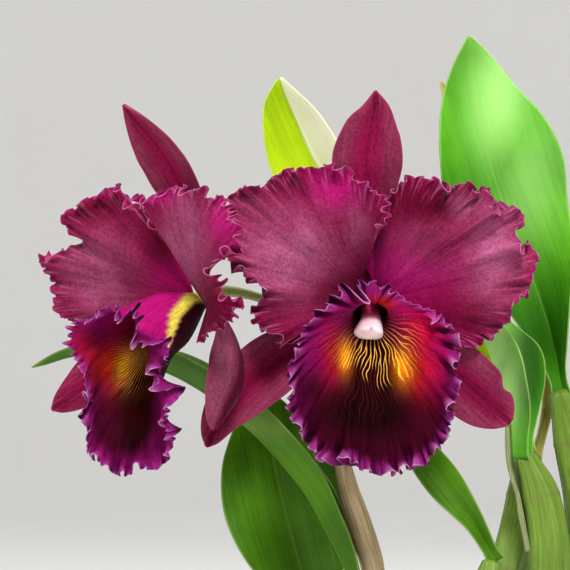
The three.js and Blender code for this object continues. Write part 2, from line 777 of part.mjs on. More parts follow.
const LEFT = {
  petals: {
    left_petal_left: {
      claw: [[-1.6, 5, -2.7], [-4, 2.9, 3.2]],
      edge: [
        [-50, 14, -17], [-64, 20, -16], [-70, 22, -8], [-77, 23, 1], [-80, 24, 10],
        [-82, 25, 22], [-69, 16, 26], [-66, 11, 33], [-71, 10, 41], [-63, 5, 48], [-53, 0, 54],
        [-45, -5, 58], [-39, -9, 54], [-33, -14, 48], [-21, -14, 39],
      ],
      bulge: [-2, -4, 1],
      facing: [-0.3, -0.9, -0.1],
      height: 1.7,
      wavelength: 13,
      reach: 5,
      seed: 5.2,
    },
    left_petal_right: {
      claw: [[-2.3, -7.6, 5], [3.6, -8, -3.8]],
      edge: [
        [-27, -30, 45], [-29, -34, 53],
        [-23, -40, 50], [-14, -49, 52], [-6, -57, 56], [2, -62, 54], [7, -64, 48], [14, -68, 47],
        [20, -70, 41], [22, -72, 33], [18, -72, 24], [11, -70, 20], [9, -69, 14], [11, -67, 7],
        [17, -66, 2], [22, -63, -3], [16, -57, -9], [8, -47, -16], [-1, -32, -21],
      ],
      bulge: [-3, -3, 2],
      facing: [-0.85, -0.35, -0.2],
      height: 1.6,
      wavelength: 13,
      reach: 5,
      seed: 2.4,
    },
  },
  sepals: {
    left_sepal_dorsal: {
      spine: [
        [-0.4, -0.2, 5.5], [0, -7, 25], [-4, -15, 45], [-11, -24, 62], [-20, -33, 76], [-28, -39, 86],
        [-36, -44, 95],
      ],
      face: [[0, [-0.6, -0.6, -0.4]], [1, [-0.5, -0.75, -0.4]]],
      width: [[0, 3], [0.25, 10], [0.5, 15.5], [0.65, 16], [0.8, 12.5], [0.92, 6.5], [1, 0.8]],
      fold: [[0, 24], [1, 12]],
    },
    left_sepal_left: {
      spine: [
        [1.3, 5.6, -1.7], [-16, 14, -15], [-34, 18, -27], [-52, 23, -39], [-66, 25, -49],
        [-78, 27, -57],
      ],
      face: [[0, [-0.6, -0.6, -0.4]], [1, [-0.3, -0.85, 0.3]]],
      width: [
        [0, 2.6], [0.1, 4], [0.28, 9.5], [0.5, 14.5], [0.7, 14], [0.85, 10], [0.95, 5.5], [1, 0.9],
      ],
      fold: [[0, 4], [0.35, 16], [1, 10]],
    },
    left_sepal_right: {
      spine: [
        [5.9, 1.2, -1.9], [14, -8, -13], [18, -18, -23], [18, -27, -35], [13, -35, -48],
        [7, -41, -63],
      ],
      face: [[0, [-0.6, 0.1, -0.4]], [0.4, [-0.75, 0.6, -0.3]], [1, [-0.75, 0.6, -0.3]]],
      width: [
        [0, 2.6], [0.1, 4], [0.28, 9.5], [0.5, 14.5], [0.7, 13], [0.88, 8], [0.96, 4.5], [1, 0.9],
      ],
      fold: [[0, 5], [0.35, 28], [1, 26]],
    },
  },
  lip: {
    rings: [
      { centre: [-1, -0.8, -0.7], axis: [-0.66, -0.55, -0.5], up: [0, 0, 1], across: 4.6, tall: 4.6 },
      { centre: [-14, -12, -9], axis: [-0.66, -0.55, -0.5], up: [0, 0, 1], across: 13, tall: 14 },
      { centre: [-30, -27, -21], axis: [-0.66, -0.55, -0.6], up: [0, 0, 1], across: 20, tall: 19 },
    ],
    edge: [
      [-40, -42, 0], [-36, -52, -6], [-30, -59, -12], [-22, -63, -18], [-17, -62, -26], [-18, -60, -34],
      [-14, -61, -42], [-13, -60, -50], [-13, -57, -58], [-14, -53, -65], [-11, -49, -72], [-15, -48, -78],
      [-25, -50, -82], [-35, -52, -83], [-45, -51, -81], [-53, -46, -74], [-54, -40, -64], [-55, -34, -56],
      [-54, -29, -48], [-57, -24, -40], [-60, -18, -31], [-65, -12, -22], [-65, -13, -14], [-59, -20, -10],
      [-51, -31, -7], [-44, -38, -3],
    ],
    swell: [-3, -3, -1],
    height: 2.1,
    ends: 0.2,
    wavelength: 11,
    reach: 4,
    seed: 4.4,
  },
  column: {
    path: [[-0.3, -0.3, 0], [-6, -5, -4], [-12, -10, -8], [-17, -14, -12], [-20, -16, -17]],
    radius: [[0, 3.4], [0.4, 3.6], [0.7, 4.4], [0.9, 5.2], [0.97, 4.2], [1, 2.6]],
  },
};

function buildBloom(bloom, origin, prefix) {
  for (const [name, petal] of Object.entries(bloom.petals)) {
    place(name, thinBody(netOf(petalSurface({ origin, ...petal }), PETAL_ROWS), PETAL_THICKNESS), PETAL);
  }
  for (const [name, sepal] of Object.entries(bloom.sepals)) {
    place(name, blade({ origin, ...sepal }, SEPAL_THICKNESS, 9, 4), SEPAL);
  }
  const lip = netOf(lipSurface({ origin, ...bloom.lip }), LIP_ROWS);
  place(prefix + "_lip", thinBody(lip, LIP_THICKNESS), LIP);
  place(
    prefix + "_column",
    sweptBody({
      path: curveThrough(bloom.column.path, origin),
      rows: evenRows(9),
      sides: 10,
      radii: (t) => profile(bloom.column.radius, t),
      reference: [0, 0, 1],
      stretch: 1.15,
    }),
    COLUMN,
  );
}

// ----------------------------------------------------------------------------- stalk and sheaths

const STALK_PATH = [
  [-30.3, 23.8, 194.6], [-33, 28, 214], [-39, 33, 234], [-46.5, 38.5, 260], [-52, 46, 290], [-56, 52, 318],
];
const FRONT_PEDICEL = [[-54, 52, 311], [-48, 54, 330], [-40, 50, 345], [-36, 40, 351.5], [-35, 31, 352]];
const LEFT_PEDICEL = [
  [-56, 54, 318], [-68, 52, 338], [-86, 42, 349], [-104, 26, 354], [-114.5, 16.5, 353.6],
  [-119.8, 12.2, 350.2],
];

function stalk() {
  const reference = [0, 1, 0.2];
  const tube = (points, radii, rows) =>
    solidOf(sweptBody({ path: curveThrough(points), rows: evenRows(rows), sides: 8, radii, reference }));
  return tube(STALK_PATH, () => STALK_RADIUS, 7)
    .add(tube(FRONT_PEDICEL, (t) => mix(2.2, 3, smooth(0.4, 1, t)), 8))
    .add(tube(LEFT_PEDICEL, (t) => mix(2.2, 3, smooth(0.4, 1, t)), 9));
}

// A dry sheath rolled round a stem, open along its back, its mouth cut on the slant.
function rolledSheath({ path, radius, from, sweep, stretch = 1 }) {
  const along = curveThrough(path);
  return (u, t) => {
    const at = along.getPointAt(t);
    const tangent = along.getTangentAt(t);
    const side = tangent.clone().cross(new THREE.Vector3(0, -1, 0)).normalize();
    const front = side.clone().cross(tangent);
    const angle = ((from + sweep(t) * (u - 0.5)) * Math.PI) / 180;
    const r = profile(radius, t);
    return at
      .addScaledVector(side, r * stretch * Math.cos(angle))
      .addScaledVector(front, r * Math.sin(angle));
  };
}

const FLOWER_SHEATH = {
  path: [[-30.3, 23.8, 194.8], [-33, 28, 214], [-39, 33, 234], [-45, 37, 252], [-48.5, 41, 268]],
  radius: [[0, 4], [0.25, 5.6], [0.6, 6], [1, 3.8]],
  from: 90,
  sweep: (t) => mix(310, 150, smooth(0.6, 1, t)),
};
const GREEN_SHEATH = {
  path: [[59, 35.3, 222], [55, 38, 249], [46, 40, 269], [41.5, 41, 287]],
  radius: [[0, 12.8], [0.35, 12], [0.65, 9.8], [0.85, 7.4], [1, 5.4]],
  from: 198,
  sweep: (t) => mix(150, 16, smooth(0.1, 1, t)),
};

// ------------------------------------------------------------------------------------ assembling

place("pot", pot(), TERRACOTTA);
place("bark_mix", geometryFrom(bark()), BARK);
place("rhizome", geometryFrom(rhizome()), ROOT);
for (const [name, shape] of Object.entries(BULBS)) place(name, bulb(shape), BULB);
for (const [name, { material, ...shape }] of Object.entries(LEAVES)) {
  place(name, blade(shape, LEAF_THICKNESS), material);
}
const rolled = (sheath, across) =>
  thinBody(netOf(rolledSheath(sheath), evenRows(6).map((t) => [t, across])), SHEATH_THICKNESS);
place("sheath_flower", rolled(FLOWER_SHEATH, 10), DRY_SHEATH);
place("sheath_green", rolled(GREEN_SHEATH, 8), PALE_SHEATH);
place("flower_stalk", geometryFrom(stalk()), STALK);
buildBloom(FRONT, FRONT_BLOOM, "front");
buildBloom(LEFT, LEFT_BLOOM, "left");

export default orchid;
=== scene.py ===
"""Cattleya orchid in a clay pot: the living surfaces and finishes over the packed solids.

Millimetres in the shape data, metres in Blender. +Z is up and the blooms open towards -Y.
"""

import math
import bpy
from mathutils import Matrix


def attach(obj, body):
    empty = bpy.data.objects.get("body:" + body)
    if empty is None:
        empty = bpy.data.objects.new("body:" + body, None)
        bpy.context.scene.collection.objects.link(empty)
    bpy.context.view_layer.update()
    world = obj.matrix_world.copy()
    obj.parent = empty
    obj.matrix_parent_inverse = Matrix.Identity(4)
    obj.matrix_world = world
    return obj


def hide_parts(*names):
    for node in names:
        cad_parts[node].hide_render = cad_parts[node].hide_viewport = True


bl_info = {
    "name": "Cattleya orchid",
    "version": (1, 0, 0),
    "blender": (4, 5, 0),
    "location": "View3D > Sidebar > Orchid",
    "description": "Builds a potted cattleya with two ruffled blooms around its solid frame",
    "category": "Add Mesh",
}

import bpy
import numpy as np
from bpy.props import FloatProperty, FloatVectorProperty, IntProperty, PointerProperty

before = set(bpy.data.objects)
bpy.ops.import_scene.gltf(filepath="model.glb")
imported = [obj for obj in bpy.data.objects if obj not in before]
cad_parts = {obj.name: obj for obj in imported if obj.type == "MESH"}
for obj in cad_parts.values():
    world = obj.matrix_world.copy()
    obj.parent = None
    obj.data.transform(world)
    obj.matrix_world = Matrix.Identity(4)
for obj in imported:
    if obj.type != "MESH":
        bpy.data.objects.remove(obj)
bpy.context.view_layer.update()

MM = 0.001
BODY = "root"
WANDER_STEPS = 400  # values after which a random wave comes round again
BLOOMS = {"front": (-35, 30, 352), "left": (-120, 12, 350)}  # the middle of each bloom
POT_HEIGHT = 120
POT_RIM = 75  # the rim's and the foot's radius
POT_FOOT = 50
POT_WALL = 5
POT_FLOOR = 7
POT_SLOPE = 21 / 96  # how far the wall leans out for each millimetre of height
BARK_LEVEL = 106.5
PETAL_WAVES = {"height": 1.7, "wavelength": 13, "reach": 5}
LIP_WAVES = {"height": 1.1, "wavelength": 11, "reach": 4}

# ---------- shapes of the plant

BULBS = {
    "pseudobulb_a": {
        "path": [[-14, -3, 115], [-25, 2, 142], [-33, 10, 170], [-35, 19, 194]], "radius": 10.5,
        "tip": 0.76,
    },
    "pseudobulb_b": {
        "path": [[26, 21, 114], [48, 28, 160], [58, 34, 212], [54, 38, 249], [46.4, 40, 270]],
        "radius": 9.4,
    },
    "pseudobulb_c": {
        "path": [[15, 11, 115], [22, 40, 160], [43, 66, 220], [53, 76, 269]], "radius": 8.5, "tip": 0.64,
    },
    "pseudobulb_d": {"path": [[2, 2, 115], [8, -2, 150], [19, 4, 185], [27, 10, 219]], "radius": 8.5},
    "pseudobulb_e": {
        "path": [[40, 35, 114], [67, 48, 165], [83, 57, 222], [76, 60, 272], [67, 60, 303]],
        "radius": 11.5,
    },
    "pseudobulb_g": {
        "path": [[-35, -10, 114], [-54, 6, 128], [-64, 30, 148], [-61, 49, 171]], "radius": 10.5,
    },
}
# A leaf's foot is half the width of the part that clasps its stem. Its light and darker entries are soft
# patches of painted highlight and painted shade, as (x, z, half width, half height, strength).
LEAVES = {
    "leaf_a": {
        "tone": "shaded", "foot": 5.6,
        "spine": [[-39, 15.2, 196], [-48, 22, 217], [-57, 28, 234], [-66, 34, 250], [-78, 38, 265],
                  [-89, 42, 277], [-101, 45, 288], [-119, 50, 302], [-140, 55, 313], [-164, 59, 320],
                  [-188, 62, 321], [-211, 64, 314]],
        "face": [[0, [0.8, 0, 0.4]], [0.3, [0.76, 0.05, 0.65]], [0.6, [0.45, 0, 0.88]],
                 [1, [-0.3, 0, 0.95]]],
        "width": [[0, 4], [0.08, 7.5], [0.18, 14], [0.3, 18.5], [0.6, 18.5], [0.78, 14], [0.9, 8.5],
                  [0.96, 5], [1, 0.8]],
        "fold": [[0, 58], [0.2, 52], [0.6, 48], [1, 30]], "wave": 0.6, "light": [(-90, 285, 30, 8, 0.3)],
        "painted_shade": [(-50, 215, 20, 30, 0.5), (-86, 287, 14, 9, 0.7)],
    },
    "leaf_b": {
        "tone": "mature", "foot": 11,
        "spine": [[41.3, 41, 271.5], [40.8, 42, 285], [37, 43, 300], [31, 43.5, 319], [24, 44, 337],
                  [12.5, 41, 358], [2.5, 40, 378], [-5, 41, 395], [-9, 42, 407]],
        "face": [[0, [0.9, -0.3, 0.1]], [0.2, [0.9, -0.42, 0.2]], [0.5, [0.9, -0.42, 0.25]],
                 [1, [0.6, -0.6, 0.3]]],
        "width": [[0, 10.5], [0.09, 12], [0.22, 24], [0.34, 27], [0.47, 17], [0.6, 12], [0.75, 10.5],
                  [0.88, 8], [0.96, 4.5], [1, 0.8]],
        "fold": [[0, 62], [0.2, 58], [0.45, 55], [1, 30]], "wave": 1,
        "light": [(28, 328, 10, 30, 1.4), (36, 300, 7, 24, 1.1)], "painted_shade": [(50, 316, 9, 34, 1.2)],
    },
    "leaf_c": {
        "tone": "young", "foot": 5.4,
        "spine": [[52.2, 74, 271.3], [45, 84, 296], [24, 92, 324], [-4, 98, 353], [-29, 101, 381],
                  [-48, 101, 404], [-62, 99, 425], [-71, 95, 445], [-76.5, 90, 458], [-80, 84, 468.5]],
        "face": [[0, [-0.4, -0.85, 0]], [0.5, [-0.3, -0.9, 0]], [0.8, [-0.27, -0.93, -0.1]],
                 [1, [-0.27, -0.93, -0.12]]],
        "width": [[0, 4], [0.1, 9], [0.3, 19], [0.55, 25], [0.72, 26], [0.83, 25], [0.91, 20.5],
                  [0.965, 13], [1, 2.5]],
        "fold": [[0, 45], [0.4, 34], [1, 38]], "wave": 1.5,
    },
    "leaf_d": {
        "tone": "shaded", "foot": 5.2,
        "spine": [[27.3, 9.8, 221.8], [19, 13, 236], [8, 18, 250], [-3, 26, 264], [-13, 35, 277],
                  [-22, 45, 290]],
        "face": [[0, [-0.4, -0.8, 0.4]], [1, [0.2, -0.85, 0.5]]],
        "width": [[0, 3.5], [0.2, 7], [0.5, 10.5], [0.8, 8], [0.94, 4], [1, 0.8]],
        "fold": [[0, 50], [0.5, 26], [1, 18]],
    },
    "leaf_e": {
        "tone": "mature", "foot": 6.6,
        "spine": [[68.3, 60, 304], [65, 62, 323], [58, 63, 347], [47, 61, 376], [36, 57, 402],
                  [27, 50, 428], [20, 42, 451], [17, 32, 470], [16, 20, 484]],
        "face": [[0, [-0.5, -0.8, 0.1]], [0.4, [0.05, -0.95, -0.1]], [0.65, [0.3, -0.9, -0.2]],
                 [1, [0.34, -0.9, -0.3]]],
        "width": [[0, 4], [0.12, 13.5], [0.3, 24], [0.45, 33], [0.6, 38.5], [0.73, 34], [0.86, 21],
                  [0.95, 9.5], [1, 1]],
        "fold": [[0, 50], [0.35, 28], [0.7, 28], [1, 20]], "wave": 1.5,
        "light": [(32, 456, 15, 32, 0.85),
                  (50, 410, 15, 30, 0.45)], "painted_shade": [(60, 330, 30, 36, 1.0)],
    },
    "leaf_f": {
        "tone": "tan", "foot": 4.2,
        "spine": [[56.2, 79.2, 268], [63, 92, 298], [60, 104, 332], [50, 112, 370], [38, 113, 404],
                  [22, 107, 438], [7, 97, 468]],
        "face": [[0, [0.4, -0.9, 0]], [1, [-0.3, -0.9, 0.2]]],
        "width": [[0, 3], [0.2, 7], [0.5, 12], [0.8, 9], [0.94, 4.5], [1, 0.8]],
        "fold": [[0, 55], [0.5, 35], [1, 25]], "light": [(10, 455, 10, 14, 0.5)],
    },
    "leaf_g": {
        "tone": "shaded", "foot": 6.0,
        "spine": [[-60.4, 51.2, 172.8], [-68, 54, 203], [-76, 56, 232], [-82, 58, 258], [-86, 60, 277],
                  [-89, 61, 294], [-91, 62, 303]],
        "face": [[0, [0.3, -0.9, 0.1]], [1, [0.1, -0.95, 0.1]]],
        "width": [[0, 4], [0.15, 15], [0.35, 29], [0.55, 34], [0.72, 30], [0.87, 18], [0.96, 8],
                  [1, 0.9]],
        "fold": [[0, 48], [0.4, 20], [1, 12]], "wave": 1, "painted_shade": [(-80, 210, 30, 40, 0.5)],
    },
}
PETALS = {
    "front_petal_left": {
        "claw": [[-4.8, 0.5, -4], [-4.8, 0.5, 4]],
        "edge": [[-20, -18, -12], [-37, -25, -24], [-44, -28, -24], [-50, -30, -21], [-55, -32, -16],
                 [-58, -33, -9], [-54, -33, 0], [-59, -34, 7], [-66, -36, 12], [-70, -36, 19],
                 [-74, -34, 30], [-72, -32, 45], [-65, -30, 54], [-54, -28, 56], [-44, -26, 63],
                 [-35, -26, 64], [-20, -28, 66], [-9, -30, 62], [1, -33, 55], [5, -38, 48], [6, -40, 39],
                 [2, -33, 28]],
        "bulge": [0, -5, 0], "facing": [0.25, -1, -0.1], "seed": 1.2,
    },
    "front_petal_right": {
        "claw": [[4.8, 0.5, 3.4], [4.8, 0.5, -3.4]],
        "edge": [[-4, -8, 20], [-3, -13, 35], [3, -20, 46], [11, -28, 51], [16, -30, 56], [27, -33, 60],
                 [35, -30, 58], [43, -25, 56], [50, -26, 57], [51, -32, 52], [57, -28, 54], [62, -28, 51],
                 [62, -38, 42], [69, -30, 45], [78, -26, 41], [74, -30, 34], [74, -34, 27], [85, -26, 20],
                 [83, -25, 11], [79, -27, 2], [73, -33, -4], [72, -30, -10], [65, -26, -18],
                 [55, -22, -25], [43, -18, -27]],
        "bulge": [0, -5, 0], "facing": [-0.25, -1, -0.1], "seed": 3.1,
    },
    "left_petal_left": {
        "claw": [[-1.6, 5, -2.7], [-4, 2.9, 3.2]],
        "edge": [[-50, 14, -17], [-64, 20, -16], [-70, 22, -8], [-77, 23, 1], [-80, 24, 10],
                 [-82, 25, 22], [-69, 16, 26], [-66, 11, 33], [-71, 10, 41], [-63, 5, 48], [-53, 0, 54],
                 [-45, -5, 58], [-39, -9, 54], [-33, -14, 48], [-21, -14, 39], [-13, -8, 29],
                 [-7, -1, 15]],
        "bulge": [-2, -4, 1], "facing": [-0.3, -0.9, -0.1], "seed": 5.2,
    },
    "left_petal_right": {
        "claw": [[-2.3, -7.6, 5], [3.6, -8, -3.8]],
        "edge": [[-27, -30, 45], [-29, -34, 53], [-23, -40, 50], [-14, -49, 52], [-6, -57, 56],
                 [2, -62, 54], [7, -64, 48], [14, -68, 47], [20, -70, 41], [22, -72, 33], [18, -72, 24],
                 [11, -70, 20], [9, -69, 14], [11, -67, 7], [17, -66, 2], [22, -63, -3], [16, -57, -9],
                 [8, -47, -16], [-1, -32, -21]],
        "bulge": [-3, -3, 2], "facing": [-0.85, -0.35, -0.2], "height": 1.6, "seed": 2.4,
    },
}
SEPALS = {
    "front_sepal_dorsal": {
        "spine": [[0, 2.2, 5.2], [0, -4, 28], [-1, -9, 54], [-1, -14, 69], [1, -19, 84], [3, -22, 94],
                  [3, -25, 103]],
        "face": [[0, [0, -1, 0]], [1, [0.05, -0.95, -0.2]]],
        "width": [[0, 3], [0.25, 10], [0.5, 16], [0.65, 18.5], [0.8, 15], [0.92, 7.5], [1, 0.8]],
        "fold": [[0, 24], [1, 10]],
    },
    "front_sepal_left": {
        "spine": [[-3.4, 2.9, -3.8], [-25, -2, -20], [-46, -7, -33], [-62, -12, -46], [-75, -17, -61],
                  [-82, -22, -76]],
        "face": [[0, [0, -1, 0]], [1, [0.2, -0.9, 0.2]]],
        "width": [[0, 2.6], [0.1, 4.5], [0.28, 11], [0.5, 16.5], [0.7, 15], [0.88, 9], [0.96, 5],
                  [1, 0.9]],
        "fold": [[0, 5], [0.35, 18], [1, 8]],
    },
    "front_sepal_right": {
        "spine": [[3.4, 2.9, -3.8], [21, -2, -19], [37, -9, -33], [50, -14, -45], [61, -18, -55],
                  [71, -21, -64]],
        "face": [[0, [0, -1, 0]], [1, [-0.1, -0.95, 0.1]]],
        "width": [[0, 2.6], [0.1, 4.5], [0.28, 11], [0.5, 16], [0.7, 17], [0.85, 14.5], [0.95, 8.5],
                  [1, 2.5]],
        "fold": [[0, 5], [0.35, 18], [1, 6]], "wave": 1.5, "waves": 2.5,
    },
    "left_sepal_dorsal": {
        "spine": [[-0.4, -0.2, 5.5], [0, -7, 25], [-4, -15, 45], [-11, -24, 62], [-20, -33, 76],
                  [-28, -39, 86], [-36, -44, 95]],
        "face": [[0, [-0.6, -0.6, -0.4]], [1, [-0.5, -0.75, -0.4]]],
        "width": [[0, 3], [0.25, 10], [0.5, 15.5], [0.65, 16], [0.8, 12.5], [0.92, 6.5], [1, 0.8]],
        "fold": [[0, 24], [1, 12]],
    },
    "left_sepal_left": {
        "spine": [[1.3, 5.6, -1.7], [-16, 14, -15], [-34, 18, -27], [-52, 23, -39], [-66, 25, -49],
                  [-78, 27, -57]],
        "face": [[0, [-0.6, -0.6, -0.4]], [1, [-0.3, -0.85, 0.3]]],
        "width": [[0, 2.6], [0.1, 4], [0.28, 9.5], [0.5, 14.5], [0.7, 14], [0.85, 10], [0.95, 5.5],
                  [1, 0.9]],
        "fold": [[0, 4], [0.35, 16], [1, 10]],
    },
    "left_sepal_right": {
        "spine": [[5.9, 1.2, -1.9], [14, -8, -13], [18, -18, -23], [18, -27, -35], [13, -35, -48],
                  [7, -41, -63]],
        "face": [[0, [-0.6, 0.1, -0.4]], [0.4, [-0.75, 0.6, -0.3]], [1, [-0.75, 0.6, -0.3]]],
        "width": [[0, 2.6], [0.1, 4], [0.28, 9.5], [0.5, 14.5], [0.7, 13], [0.88, 8], [0.96, 4.5],
                  [1, 0.9]],
        "fold": [[0, 5], [0.35, 28], [1, 26]],
    },
}
# A lip's rings are (centre, axis, half width, half height) of its tube.
LIPS = {
    "front_lip": {
        "rings": [([0, -1.7, 0], [0, -1, 0], 4.6, 4.6), ([0, -25, -3], [0, -1, -0.1], 9.5, 9.5),
                  ([0, -41, -14], [0, -0.9, -0.4], 11.5, 12)],
        "edge": [[-2, -49, 6], [5, -50, 5], [13, -52, 1], [25, -56, -6], [33, -55, -8], [39, -53, -14],
                 [43, -52, -24], [42, -55, -33], [43, -55, -43], [40, -57, -52], [39, -56, -62],
                 [35, -57, -72], [28, -58, -80], [19, -58, -85], [7, -57, -88], [-5, -60, -84],
                 [-15, -63, -81], [-23, -57, -81], [-31, -56, -75], [-37, -54, -65], [-41, -53, -53],
                 [-41, -55, -41], [-38, -56, -28], [-34, -57, -16], [-27, -57, -7], [-19, -57, 0],
                 [-11, -56, 5], [-6, -54, 6], [2.5, -52, 8]],
        "swell": [0, -5, 0], "ends": 0.28, "seed": 0.7,
    },
    "left_lip": {
        "rings": [([-1, -0.8, -0.7], [-0.66, -0.55, -0.5], 4.6, 4.6),
                  ([-14, -12, -9], [-0.66, -0.55, -0.5], 13, 14),
                  ([-30, -27, -21], [-0.66, -0.55, -0.6], 20, 19)],
        "edge": [[-40, -42, 0], [-36, -52, -6], [-30, -59, -12], [-22, -63, -18], [-17, -62, -26],
                 [-18, -60, -34], [-14, -61, -42], [-13, -60, -50], [-13, -57, -58], [-14, -53, -65],
                 [-11, -49, -72], [-15, -48, -78], [-25, -50, -82], [-35, -52, -83], [-45, -51, -81],
                 [-53, -46, -74], [-54, -40, -64], [-55, -34, -56], [-54, -29, -48], [-57, -24, -40],
                 [-60, -18, -31], [-65, -12, -22], [-65, -13, -14], [-59, -20, -10], [-51, -31, -7],
                 [-44, -38, -3]],
        "swell": [-3, -3, -1], "ends": 0.2, "seed": 4.4,
    },
}
COLUMN_PATHS = {
    "front_column": [[0, -0.5, 0], [0, -14, -2.5], [0.3, -27, -6.5], [0, -36.5, -13], [-1.5, -41.5, -20]],
    "left_column": [[-0.3, -0.3, 0], [-6, -5, -5], [-12, -10, -10.5], [-17, -14, -15], [-20, -16, -19]],
}
SHEATHS = {
    "sheath_flower": {
        "path": [[-30.3, 23.8, 194.8], [-33, 28, 214], [-39, 33, 234], [-45, 37, 252], [-48.5, 41, 268]],
        "radius": [[0, 4], [0.25, 5.6], [0.6, 6], [1, 3.8]], "start": 90, "sweep": [310, 150, 0.6],
        "slot": "dry_sheath",
    },
    "sheath_green": {
        "path": [[57.5, 35.3, 222], [53, 38, 249], [46, 40, 269], [42, 41, 287]],
        "radius": [[0, 11], [0.35, 11.2], [0.65, 9.6], [0.85, 7.4], [1, 5.6]], "start": 224,
        "sweep": [150, 40, 0.4], "slot": "papery_sheath",
    },
}
STALK_PATHS = [
    [[-30.3, 23.8, 194.6], [-33, 28, 214], [-39, 33, 234], [-46.5, 38.5, 260], [-52, 46, 290],
     [-56, 52, 318]],
    [[-54, 52, 311], [-48, 54, 330], [-40, 50, 345], [-36, 40, 351.5], [-35, 31, 352]],
    [[-56, 54, 318], [-68, 52, 338], [-86, 42, 349], [-104, 26, 354], [-114.5, 16.5, 353.6],
     [-119.8, 12.2, 350.2]],
]
RHIZOME_PATH = [[-46, -18, 111], [-30, -6, 112.5], [-8, -2, 112], [12, 8, 112.5], [30, 24, 112],
                [43, 38, 112.5], [49, 43, 110]]
ROOT_PATHS = [
    [[-30, -8, 111], [-34, -26, 113], [-26, -44, 111], [-22, -54, 100]],
    [[-12, -4, 111], [-6, -22, 115], [6, -38, 112], [16, -50, 102]],
    [[-36, -10, 111], [-52, -4, 113], [-60, 12, 109], [-58, 22, 98]],
    [[2, 2, 111], [-4, 20, 114], [-20, 34, 111], [-28, 44, 100]],
    [[20, 16, 111], [36, 2, 114], [50, -12, 111], [56, -20, 99]],
    [[34, 30, 111], [18, 42, 114], [6, 54, 109], [2, 60, 98]],
]


# ---------- curve arithmetic


def smooth(low, high, value):
    """0 below low and 1 above high, with an eased step between them."""
    part = np.clip((np.asarray(value, float) - low) / (high - low), 0, 1)
    return part * part * (3 - 2 * part)


def catmull_rom(points, place, centripetal=True):
    """Points at place, 0 to 1, on the curve through points. Points may carry extra middle axes."""
    p = np.asarray(points, float)
    p = np.concatenate([2 * p[:1] - p[1:2], p, 2 * p[-1:] - p[-2:-1]])
    at = np.clip(np.asarray(place, float), 0, 1) * (len(p) - 3)
    start = np.minimum(at.astype(int), len(p) - 4)
    w = (at - start)[..., None]
    a, b, c, d = (p[start + k] for k in range(4))
    if centripetal:
        gaps = [np.linalg.norm(y - x, axis=-1, keepdims=True) for x, y in ((a, b), (b, c), (c, d))]
        before, middle, after = (np.maximum(np.sqrt(gap), 1e-4) for gap in gaps)
        leave = ((b - a) / before - (c - a) / (before + middle) + (c - b) / middle) * middle
        arrive = ((c - b) / middle - (d - b) / (middle + after) + (d - c) / after) * middle
    else:
        leave = 0.5 * (c - a)
        arrive = 0.5 * (d - b)
    square = (3 * (c - b) - 2 * leave - arrive) * w**2
    return b + leave * w + square + (2 * (b - c) + leave + arrive) * w**3


class Path:
    """A curve through points that is read by its own length."""

    def __init__(self, points, origin=(0, 0, 0)):
        self.points = np.asarray(points, float) + np.asarray(origin, float)
        self.places = np.linspace(0, 1, 601)
        steps = np.diff(catmull_rom(self.points, self.places), axis=0)
        self.lengths = np.concatenate([[0], np.cumsum(np.linalg.norm(steps, axis=1))])
        self.length = self.lengths[-1]

    def place(self, share):
        return np.interp(np.clip(share, 0, 1) * self.length, self.lengths, self.places)

    def at(self, share):
        return catmull_rom(self.points, self.place(share))

    def tangent(self, share):
        place = self.place(share)
        step = catmull_rom(self.points, place + 1e-4) - catmull_rom(self.points, place - 1e-4)
        return unit(step)


def unit(vectors):
    """The vectors at length 1."""
    return vectors / np.maximum(np.linalg.norm(vectors, axis=-1, keepdims=True), 1e-9)


def profile(pairs, place):
    """A smooth value read from [place, value] pairs."""
    places = np.array([pair[0] for pair in pairs], float)
    values = np.array([pair[1] for pair in pairs], float)
    last = len(pairs) - 1
    ahead = np.minimum(np.arange(last + 1) + 1, last)
    behind = np.maximum(np.arange(last + 1) - 1, 0)
    slopes = (values[ahead] - values[behind]) / (places[ahead] - places[behind])
    place = np.asarray(place, float)
    start = np.clip(np.searchsorted(places, place) - 1, 0, last - 1)
    width = places[start + 1] - places[start]
    s = np.clip((place - places[start]) / width, 0, 1)
    ease = s * s * (3 - 2 * s)
    tilt = width * s * (1 - s) * ((1 - s) * slopes[start] - s * slopes[start + 1])
    return values[start] * (1 - ease) + values[start + 1] * ease + tilt


def heading(pairs, place):
    """A direction read from [place, direction] pairs."""
    return np.stack([profile([(at, d[k]) for at, d in pairs], place) for k in range(3)], axis=-1)


def wander(distance, size, seed):
    """A smooth random value from -1 to 1 that changes over size millimetres."""
    values = np.random.default_rng(seed).uniform(-1, 1, WANDER_STEPS)
    at = np.asarray(distance, float) / size + 7.3
    start = np.floor(at).astype(int)
    ease = at - start
    ease = ease * ease * (3 - 2 * ease)
    return values[start % WANDER_STEPS] * (1 - ease) + values[(start + 1) % WANDER_STEPS] * ease


# ---------- mesh building


def put(name, data):
    """A new object in the scene."""
    thing = bpy.data.objects.new(name, data)
    bpy.context.scene.collection.objects.link(thing)
    return thing


def link_piece(mesh, node, material):
    """Puts a finished mesh in the scene, as a piece of its name that stands for one solid."""
    piece = put(mesh.name, mesh)
    mesh.materials.clear()
    mesh.materials.append(material)
    mesh.polygons.foreach_set("material_index", np.zeros(len(mesh.polygons), np.int32))
    mesh.polygons.foreach_set("use_smooth", np.ones(len(mesh.polygons), bool))
    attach(piece, BODY)
    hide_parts(node)
    return piece


